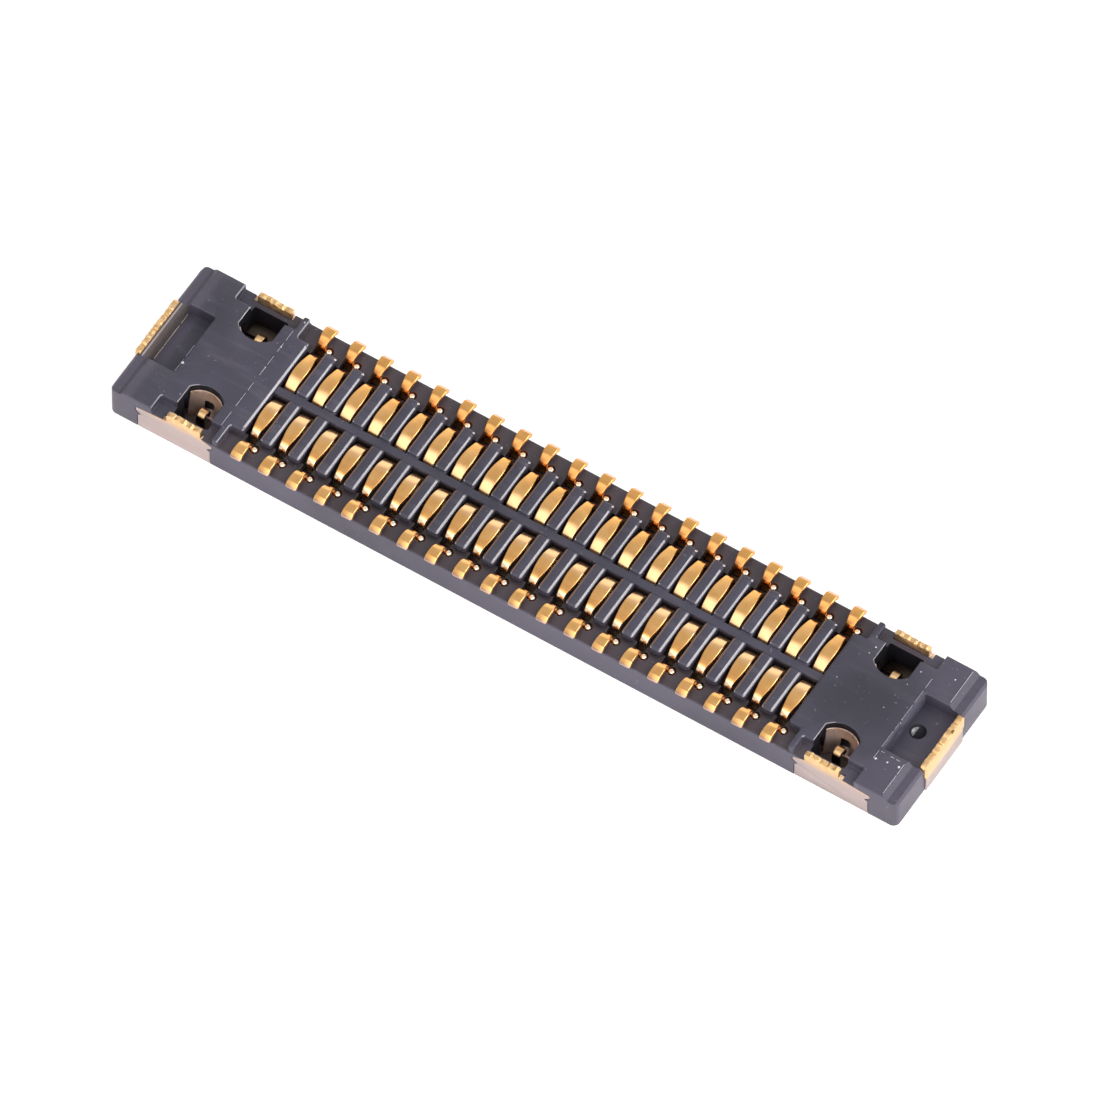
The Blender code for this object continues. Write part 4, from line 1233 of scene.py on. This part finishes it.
def plastic(name, base, pale, roughness, level, specked=0.30, ior=1.5, stub_glow=0.0):
    """Moulded liquid crystal polymer: fine grain, flow clouds, pale specks, and light and shade painted by place."""
    material, tree, shader = new_material(name)
    place_mm = millimetres(tree)
    fine = grain(tree, place_mm, 70.0, 3.0, 0.6)
    clouds = grain(tree, place_mm, 3.2, 3.0, 0.5)
    broad = ramp(tree, grain(tree, place_mm, 0.7, 1.0, 0.5), 0.30, 0.70, 0.86, 1.14)
    flow = grain(tree, millimetres(tree, (1.0, 7.0, 4.0)), 1.3, 2.0, 0.5)
    specks = ramp(tree, grain(tree, place_mm, 26.0, 1.0, 0.4), 0.73, 0.78)
    tone = maths(tree, "MULTIPLY", maths(tree, "ADD", maths(tree, "MULTIPLY", fine, 0.22), 0.89), broad)
    dark = mixed(tree, ramp(tree, clouds, 0.35, 0.68), [value * 0.86 for value in base[:3]] + [1.0], base)
    streaked = mixed(tree, ramp(tree, flow, 0.50, 0.80, 0.0, 0.10), dark, pale)
    grey = node(tree, "ShaderNodeCombineColor", {0: tone, 1: tone, 2: tone}).outputs[0]
    where = node(tree, "ShaderNodeSeparateXYZ", {0: place_mm})
    reach_x = maths(tree, "ABSOLUTE", where.outputs[0])
    reach_y = maths(tree, "ABSOLUTE", where.outputs[1])
    sunk = maths(tree, "MULTIPLY", ramp(tree, where.outputs[2], 0.40, 0.385), ramp(tree, reach_x, 3.76, 3.74))
    # Painted shade: darker brown low down in the recesses at the ribs' ends and the tails' roots.
    pit = maths(tree, "MULTIPLY", sunk, ramp(tree, reach_y, 0.735, 0.67))
    sunk = maths(tree, "MULTIPLY", sunk, ramp(tree, reach_y, 0.935, 0.925))
    # Painted light: the outer side walls and the end faces are lighter.
    outer = maths(tree, "MAXIMUM", ramp(tree, reach_y, 0.925, 0.938), ramp(tree, reach_x, 4.925, 4.945))
    axis = node(tree, "ShaderNodeSeparateXYZ", {0: node(tree, "ShaderNodeNewGeometry").outputs["Normal"]})
    # Painted reflection: a warm tint of the gold on the top edges that face -X in the field.
    facing = maths(tree, "MULTIPLY", ramp(tree, axis.outputs[0], -0.25, -0.5), ramp(tree, reach_x, 3.45, 3.40))
    lit = maths(tree, "MULTIPLY", facing, ramp(tree, where.outputs[2], 0.448, 0.455))
    # Darker around the centre of the right top plate.
    away = node(tree, "ShaderNodeVectorMath", {0: place_mm, 1: (4.0, 0.0, 0.475)}, operation="DISTANCE")
    dull = ramp(tree, away.outputs["Value"], 0.75, 0.15, 0.0, 0.9)
    # Painted light on the inner wall of the right pocket.
    beside = maths(tree, "ABSOLUTE", maths(tree, "SUBTRACT", where.outputs[0], 4.45))
    wall = maths(tree, "MULTIPLY", ramp(tree, beside, 0.024, 0.018), ramp(tree, where.outputs[2], 0.466, 0.46))
    wall = maths(tree, "MULTIPLY", wall, ramp(tree, clouds, 0.42, 0.50, 0.35, 1.0))
    by_plate = maths(tree, "MULTIPLY", ramp(tree, reach_y, 0.40, 0.39), ramp(tree, where.outputs[0], -4.77, -4.80))
    # Painted highlight along the outer edge of the left end band, next to the end plate.
    edge_highlight = maths(tree, "MULTIPLY", by_plate, ramp(tree, where.outputs[0], -4.866, -4.872))
    edge_highlight = maths(tree, "MULTIPLY", edge_highlight, ramp(tree, where.outputs[0], -4.894, -4.888))
    # Lighter at the left end band and towards the corners of the right top plate.
    pale_end = maths(tree, "MAXIMUM", ramp(tree, where.outputs[0], -4.62, -4.72, 0.0, 0.9),
                     maths(tree, "MULTIPLY", ramp(tree, away.outputs["Value"], 0.60, 0.85, 0.0, 0.6),
                           ramp(tree, where.outputs[0], 3.6, 3.9)))
    for factor, shares in (
        (outer, (1.42, 1.36, 1.36)), (sunk, (1.05, 0.88, 0.72)), (pit, (0.50, 0.40, 0.32)),
        (dull, (0.60, 0.60, 0.60)), (wall, (2.3, 2.3, 2.2)), (pale_end, (1.50, 1.42, 1.36)), (lit, (4.2, 2.7, 1.3)),
        (by_plate, (1.75, 1.55, 1.05)), (edge_highlight, (6.0, 6.0, 4.3)),
    ):
        streaked = mixed(tree, factor, streaked, [value * share for value, share in zip(base, shares)] + [1.0])
    # Painted glow of the gold stubs: dark red brown on the walls of their holes, as strong as the last argument.
    ring = maths(tree, "MULTIPLY", ramp(tree, reach_x, 3.6, 3.55, 0.0, stub_glow), ramp(tree, reach_y, 0.68, 0.70))
    streaked = mixed(tree, ring, streaked, (0.10, 0.030, 0.012, 1.0))
    grainy = mixed(tree, 1.0, streaked, grey, "MULTIPLY")
    coloured = mixed(tree, maths(tree, "MULTIPLY", specks, specked), grainy, pale)
    tree.links.new(coloured, shader.inputs["Base Color"])
    tree.links.new(ramp(tree, clouds, 0.2, 0.8, roughness - 0.04, roughness + 0.05), shader.inputs["Roughness"])
    shader.inputs["Specular IOR Level"].default_value = level
    shader.inputs["IOR"].default_value = ior
    normal = bumped(tree, fine, 1.0 * MICRON, 0.5)
    normal = bumped(tree, clouds, 4.0 * MICRON, 0.5, normal)
    tree.links.new(normal, shader.inputs["Normal"])
    return material


def gold(name):
    """Gold plated strip: faint rolling lines, dull mottles, coppery cut ends, and painted light: orange far crowns,
    darker orange shade at bends and roots, creamy highlights on crown ends and stubs.
    """
    material, tree, shader = new_material(name)
    place_mm = millimetres(tree)
    chance = node(tree, "ShaderNodeObjectInfo").outputs["Random"]
    offset = node(tree, "ShaderNodeCombineXYZ", {0: maths(tree, "MULTIPLY", chance, 90.0), 1: chance, 2: 0.0})
    stretched = millimetres(tree, (38.0, 3.0, 3.0))
    moved = node(tree, "ShaderNodeVectorMath", {0: stretched, 1: offset.outputs[0]}, operation="ADD").outputs[0]
    lines = grain(tree, moved, 1.0, 3.0, 0.6)
    spread = node(tree, "ShaderNodeVectorMath", {0: place_mm, 1: offset.outputs[0]}, operation="ADD").outputs[0]
    mottle = grain(tree, spread, 8.0, 2.0, 0.5)
    pits = grain(tree, spread, 45.0, 2.0, 0.5)
    axis = node(tree, "ShaderNodeSeparateXYZ", {0: node(tree, "ShaderNodeNewGeometry").outputs["Normal"]})
    side = ramp(tree, maths(tree, "ABSOLUTE", axis.outputs[0]), 0.50, 0.80)
    where = node(tree, "ShaderNodeSeparateXYZ", {0: place_mm})
    reach = maths(tree, "ABSOLUTE", where.outputs[1])
    tip = ramp(tree, reach, 0.955, 0.983)
    middle = ramp(tree, maths(tree, "ABSOLUTE", where.outputs[0]), 0.068, 0.060)
    from_z = ramp(tree, where.outputs[1], -0.1, 0.1, 0.478, 0.4975)
    to_z = ramp(tree, where.outputs[1], -0.1, 0.1, 0.42, 0.475)
    bend = maths(tree, "MULTIPLY", ramp(tree, reach, 0.67, 0.71), ramp(tree, where.outputs[2], from_z, to_z))
    bend = maths(tree, "MULTIPLY", bend, middle)
    stub = maths(tree, "MULTIPLY", ramp(tree, where.outputs[0], 0.054, 0.058),
                 maths(tree, "MULTIPLY", ramp(tree, where.outputs[2], 0.345, 0.355),
                       ramp(tree, where.outputs[2], 0.40, 0.39)))
    plated = mixed(tree, ramp(tree, mottle, 0.35, 0.7), (0.96, 0.515, 0.175, 1.0), (0.96, 0.555, 0.215, 1.0))
    lined = mixed(tree, ramp(tree, lines, 0.45, 0.80, 0.0, 0.22), plated, (0.88, 0.44, 0.14, 1.0))
    sheared = mixed(tree, maths(tree, "MULTIPLY", side, 0.6), lined, (0.62, 0.33, 0.13, 1.0))
    # Painted reflection: the far row's crowns turn more orange.
    far_orange_reflection = maths(tree, "MULTIPLY", ramp(tree, where.outputs[1], 0.34, 0.60), 0.55)
    glowing = mixed(tree, far_orange_reflection, sheared, (0.97, 0.49, 0.13, 1.0))
    # Painted shade: darker orange on the near crowns' outer slopes and at the far tails' roots.
    amber = maths(tree, "MULTIPLY", ramp(tree, where.outputs[1], -0.40, -0.48), ramp(tree, where.outputs[1], -0.56, -0.53))
    root = maths(tree, "MULTIPLY", ramp(tree, where.outputs[1], 0.71, 0.73), ramp(tree, where.outputs[1], 0.87, 0.82))
    amber = maths(tree, "MAXIMUM", amber, root)
    glowing = mixed(tree, maths(tree, "MULTIPLY", amber, 0.8), glowing, (0.84, 0.42, 0.135, 1.0))
    # Painted highlight: creamy colour on the inner ends of the crowns.
    nose_start = ramp(tree, where.outputs[1], -0.1, 0.1, 0.33, 0.27)
    nose_full = ramp(tree, where.outputs[1], -0.1, 0.1, 0.25, 0.18)
    nose = mixed(tree, ramp(tree, reach, nose_start, nose_full, 0.0, 0.75), glowing, (1.0, 0.64, 0.34, 1.0))
    # Painted highlight: creamy colour at the outer ends of the near crowns.
    heel = maths(tree, "MULTIPLY", ramp(tree, where.outputs[1], -0.535, -0.57), ramp(tree, where.outputs[1], -0.72, -0.69))
    heeled = mixed(tree, maths(tree, "MULTIPLY", heel, 0.9), nose, (1.0, 0.76, 0.52, 1.0))
    # Painted shade: darker red orange where the tails bend down into the housing.
    bend_shade = mixed(tree, maths(tree, "MULTIPLY", bend, 0.85), heeled, (0.72, 0.30, 0.09, 1.0))
    copper = mixed(tree, maths(tree, "MULTIPLY", tip, 0.8), bend_shade, (0.48, 0.36, 0.31, 1.0))
    # Painted highlight: pale cream tops on the stubs.
    cut = mixed(tree, stub, copper, (1.0, 0.90, 0.72, 1.0))
    tree.links.new(cut, shader.inputs["Base Color"])
    shader.inputs["Metallic"].default_value = 1.0
    rough = maths(tree, "ADD", ramp(tree, mottle, 0.3, 0.7, 0.20, 0.27), maths(tree, "MULTIPLY", side, 0.2))
    rough = maths(tree, "ADD", rough, maths(tree, "MULTIPLY", stub, 0.10))
    tree.links.new(rough, shader.inputs["Roughness"])
    normal = bumped(tree, lines, 0.5 * MICRON, 0.4)
    normal = bumped(tree, mottle, 2.6 * MICRON, 0.5, normal)
    normal = bumped(tree, pits, 0.3 * MICRON, 0.3, normal)
    normal = bumped(tree, grain(tree, spread, 4.5, 1.0, 0.5), 9.0 * MICRON, 0.7, normal)
    tree.links.new(normal, shader.inputs["Normal"])
    return material


def plated_sheet(name, pale, warm, low, high, roughness, inside_shade):
    """Plated fitting: pale faces that turn gold towards granular top edges, with painted shade on low faces inside
    the housing and a painted dark spot on the right end plate.
    """
    material, tree, shader = new_material(name)
    place_mm = millimetres(tree)
    where = node(tree, "ShaderNodeSeparateXYZ", {0: place_mm})
    cloud = grain(tree, place_mm, 7.0, 3.0, 0.6)
    crumbs = grain(tree, place_mm, 19.0, 3.0, 0.6)
    lines = grain(tree, millimetres(tree, (5.0, 5.0, 40.0)), 1.0, 3.0, 0.6)
    level = maths(tree, "ADD", where.outputs[2], maths(tree, "MULTIPLY", cloud, 0.10))
    level = maths(tree, "ADD", level, ramp(tree, maths(tree, "ABSOLUTE", where.outputs[0]), 4.88, 4.92, 0.0, 0.13))
    height = ramp(tree, level, low + 0.05, high + 0.05)
    axis = node(tree, "ShaderNodeSeparateXYZ", {0: node(tree, "ShaderNodeNewGeometry").outputs["Normal"]})
    high_up = ramp(tree, where.outputs[2], 0.30, 0.40)
    top = maths(tree, "MULTIPLY", ramp(tree, axis.outputs[2], -0.4, 0.5, 0.55, 1.0), high_up)
    base = mixed(tree, height, pale, warm)
    lined = mixed(tree, ramp(tree, lines, 0.4, 0.8, 0.0, 0.18), base, [value * 0.8 for value in pale[:3]] + [1.0])
    torn = maths(tree, "MULTIPLY", top, ramp(tree, crumbs, 0.40, 0.60, 0.0, 0.45))
    grainy = mixed(tree, torn, lined, (0.66, 0.36, 0.12, 1.0))
    # Painted shade: low faces inside the housing take the dark colour.
    inside = maths(tree, "MULTIPLY", ramp(tree, maths(tree, "ABSOLUTE", where.outputs[1]), 0.90, 0.84),
                   ramp(tree, maths(tree, "ABSOLUTE", where.outputs[0]), 4.86, 4.80))
    inside = maths(tree, "MULTIPLY", inside, ramp(tree, where.outputs[2], 0.243, 0.228))
    # The crests of the tongues are warm gold and stay out of the painted shade.
    crest = maths(tree, "MULTIPLY", ramp(tree, maths(tree, "ABSOLUTE", where.outputs[1]), 0.84, 0.82),
                  ramp(tree, where.outputs[2], 0.215, 0.235))
    crest = maths(tree, "MULTIPLY", crest, ramp(tree, where.outputs[2], 0.27, 0.26))
    shaded = mixed(tree, inside, grainy, inside_shade)
    shaded = mixed(tree, crest, shaded, warm)
    # Painted shade: a dark spot for a small dent on the right end plate's top edge.
    away = node(tree, "ShaderNodeVectorMath", {0: place_mm, 1: (4.98, 0.165, 0.455)}, operation="DISTANCE")
    shaded = mixed(tree, ramp(tree, away.outputs["Value"], 0.038, 0.024), shaded, (0.22, 0.11, 0.05, 1.0))
    tree.links.new(shaded, shader.inputs["Base Color"])
    shader.inputs["Metallic"].default_value = 1.0
    rough = ramp(tree, cloud, 0.3, 0.7, roughness - 0.05, roughness + 0.06)
    tree.links.new(rough, shader.inputs["Roughness"])
    normal = bumped(tree, lines, 0.6 * MICRON, 0.4)
    depth = maths(tree, "MULTIPLY", top, crumbs)
    normal = bumped(tree, depth, 18.0 * MICRON, 1.0, normal)
    tree.links.new(normal, shader.inputs["Normal"])
    return material


def build_floor():
    """Pale floor: white to the camera, shaded by the object, with painted dark brown shade under it."""
    bpy.ops.mesh.primitive_plane_add(size=FLOOR_SIZE)
    floor = bpy.context.object
    floor.name = "floor"
    material, tree, shader = new_material("pale_floor")
    tree.nodes.remove(shader)
    where = node(tree, "ShaderNodeSeparateXYZ", {0: millimetres(tree)})
    in_x = ramp(tree, maths(tree, "ABSOLUTE", where.outputs[0]), 4.80, 4.92)
    in_y = ramp(tree, maths(tree, "ABSOLUTE", where.outputs[1]), 0.80, 0.92)
    clear = maths(tree, "MAXIMUM", in_x, in_y)
    rays = node(tree, "ShaderNodeLightPath")
    seen = maths(tree, "ADD", rays.outputs["Is Camera Ray"], rays.outputs["Is Glossy Ray"])
    seen = maths(tree, "ADD", seen, rays.outputs["Is Transmission Ray"], True)
    glow = maths(tree, "MULTIPLY", maths(tree, "MULTIPLY", seen, clear), 0.42)
    # Painted shade: the floor's own colour is dark brown under the part.
    under = mixed(tree, clear, (0.13, 0.10, 0.09, 1.0), (0.80, 0.79, 0.78, 1.0))
    diffuse = node(tree, "ShaderNodeBsdfDiffuse", {"Color": under})
    emission = node(tree, "ShaderNodeEmission", {"Color": (1.0, 0.985, 0.98, 1.0), "Strength": glow})
    total = node(tree, "ShaderNodeAddShader", {0: diffuse.outputs[0], 1: emission.outputs[0]})
    tree.links.new(total.outputs[0], tree.nodes["Material Output"].inputs[0])
    floor.data.materials.append(material)


def patch(tree, direction, towards, narrow, wide, amount):
    """Amount of light added around a direction, fading from narrow to wide."""
    aim = Vector(towards).normalized()
    product = node(tree, "ShaderNodeVectorMath", {0: direction, 1: aim}, operation="DOT_PRODUCT").outputs[1]
    low = math.cos(math.radians(wide))
    high = math.cos(math.radians(narrow))
    return ramp(tree, product, low, high, 0.0, amount)


def build_world():
    """Soft studio: pale all round, brighter to the right, back and overhead."""
    world = bpy.context.scene.world or bpy.data.worlds.new("studio")
    bpy.context.scene.world = world
    world.use_nodes = True
    tree = world.node_tree
    direction = node(tree, "ShaderNodeTexCoord").outputs["Generated"]
    total = patch(tree, direction, (-0.29, 0.42, 0.86), 7.0, 20.0, -0.12)
    for towards, narrow, wide, amount in (
        ((-0.29, -0.42, 0.86), 12.0, 35.0, 1.00),
        ((-0.29, 0.93, 0.22), 12.0, 38.0, 0.60),
        ((0.58, 0.46, 0.67), 9.0, 15.0, 5.6),
        ((0.55, -0.80, 0.15), 10.0, 60.0, 1.90),
        ((1.00, -0.10, 0.10), 10.0, 60.0, 1.70),
        ((-1.00, -0.05, 0.25), 10.0, 50.0, -0.40),
    ):
        total = maths(tree, "ADD", total, patch(tree, direction, towards, narrow, wide, amount))
    total = maths(tree, "ADD", total, 0.72)
    background = tree.nodes.get("Background") or tree.nodes.new("ShaderNodeBackground")
    background.inputs["Color"].default_value = (1.0, 0.99, 0.985, 1.0)
    tree.links.new(total, background.inputs["Strength"])
    tree.links.new(background.outputs[0], tree.nodes["World Output"].inputs[0])


def camera_axes():
    azimuth = math.radians(CAMERA_AZIMUTH)
    elevation = math.radians(CAMERA_ELEVATION)
    back = Vector((math.sin(azimuth) * math.cos(elevation), -math.cos(azimuth) * math.cos(elevation),
                   math.sin(elevation)))
    right = Vector((math.cos(azimuth), math.sin(azimuth), 0.0))
    return back, right, back.cross(right)


def build_camera():
    """Long lens from the photograph's direction, framed on its main point."""
    back, right, up = camera_axes()
    centre = IMAGE_PIXELS / 2
    across = (centre - TARGET_PIXEL[0]) / PIXELS_PER_MM * MM
    down = (centre - TARGET_PIXEL[1]) / PIXELS_PER_MM * MM
    target = Vector((0.0, 0.0, TOP_HEIGHT)) + right * across - up * down
    data = bpy.data.cameras.new("camera")
    data.sensor_width = SENSOR
    data.lens = SENSOR * CAMERA_DISTANCE / (IMAGE_PIXELS / PIXELS_PER_MM * MM)
    data.clip_start = 1.0 * MM
    data.clip_end = 1.0
    camera = bpy.data.objects.new("camera", data)
    camera.location = target + back * CAMERA_DISTANCE
    camera.rotation_mode = "QUATERNION"
    camera.rotation_quaternion = back.to_track_quat("Z", "Y")
    bpy.context.scene.collection.objects.link(camera)
    bpy.context.scene.camera = camera


def main():
    bpy.context.scene.view_settings.view_transform = "Standard"
    moulded = plastic("moulded_polymer", (0.044, 0.041, 0.062, 1.0), (0.24, 0.22, 0.27, 1.0), 0.46, 0.45)
    # Painted highlight: a lighter, glossier copy of the polymer for the bevels that face +X.
    highlight_polymer = plastic("moulded_polymer_highlight_edges", (0.125, 0.118, 0.145, 1.0), (0.40, 0.38, 0.43, 1.0), 0.34, 1.0, 0.3, 1.7)
    # Pale copy for moulding burrs, and for painted highlights on edges and rib corners.
    flash_and_highlight = plastic("moulded_polymer_flash_and_highlights", (0.42, 0.41, 0.46, 1.0), (0.75, 0.74, 0.76, 1.0), 0.40, 0.6, 0.8)
    # Painted shade: a near-black copy of the polymer for window walls, the dimple and the holes round the stubs.
    shade_polymer = plastic("moulded_polymer_painted_shade", (0.010, 0.010, 0.014, 1.0), (0.05, 0.05, 0.06, 1.0), 0.50, 0.2,
                     stub_glow=0.9)
    strip_gold = gold("gold_strip")
    # The last colour is the painted shade on the fittings' low faces inside the housing.
    sheet_metal = plated_sheet("plated_sheet", (0.47, 0.385, 0.375, 1.0), (0.80, 0.54, 0.275, 1.0), 0.28, 0.47,
                               0.36, (0.07, 0.052, 0.04, 1.0))
    sleeve_metal = plated_sheet("sleeve_sheet", (0.86, 0.68, 0.61, 1.0), (0.86, 0.67, 0.60, 1.0), 0.20, 0.43,
                                0.55, (0.86, 0.67, 0.60, 1.0))

    pieces = []
    housing = build_housing((moulded, highlight_polymer, flash_and_highlight, shade_polymer))
    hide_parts("housing")
    pieces.append(housing)
    pieces += build_contacts(strip_gold)
    for side, name in ((-1, "left"), (1, "right")):
        pieces.append(build_fitting(side, name, sheet_metal))
        pieces.append(build_cover(side, name, sleeve_metal))
    clear_work()
    for piece in pieces:
        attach(piece, "root")

    build_floor()
    build_world()
    build_camera()


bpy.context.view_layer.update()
main()
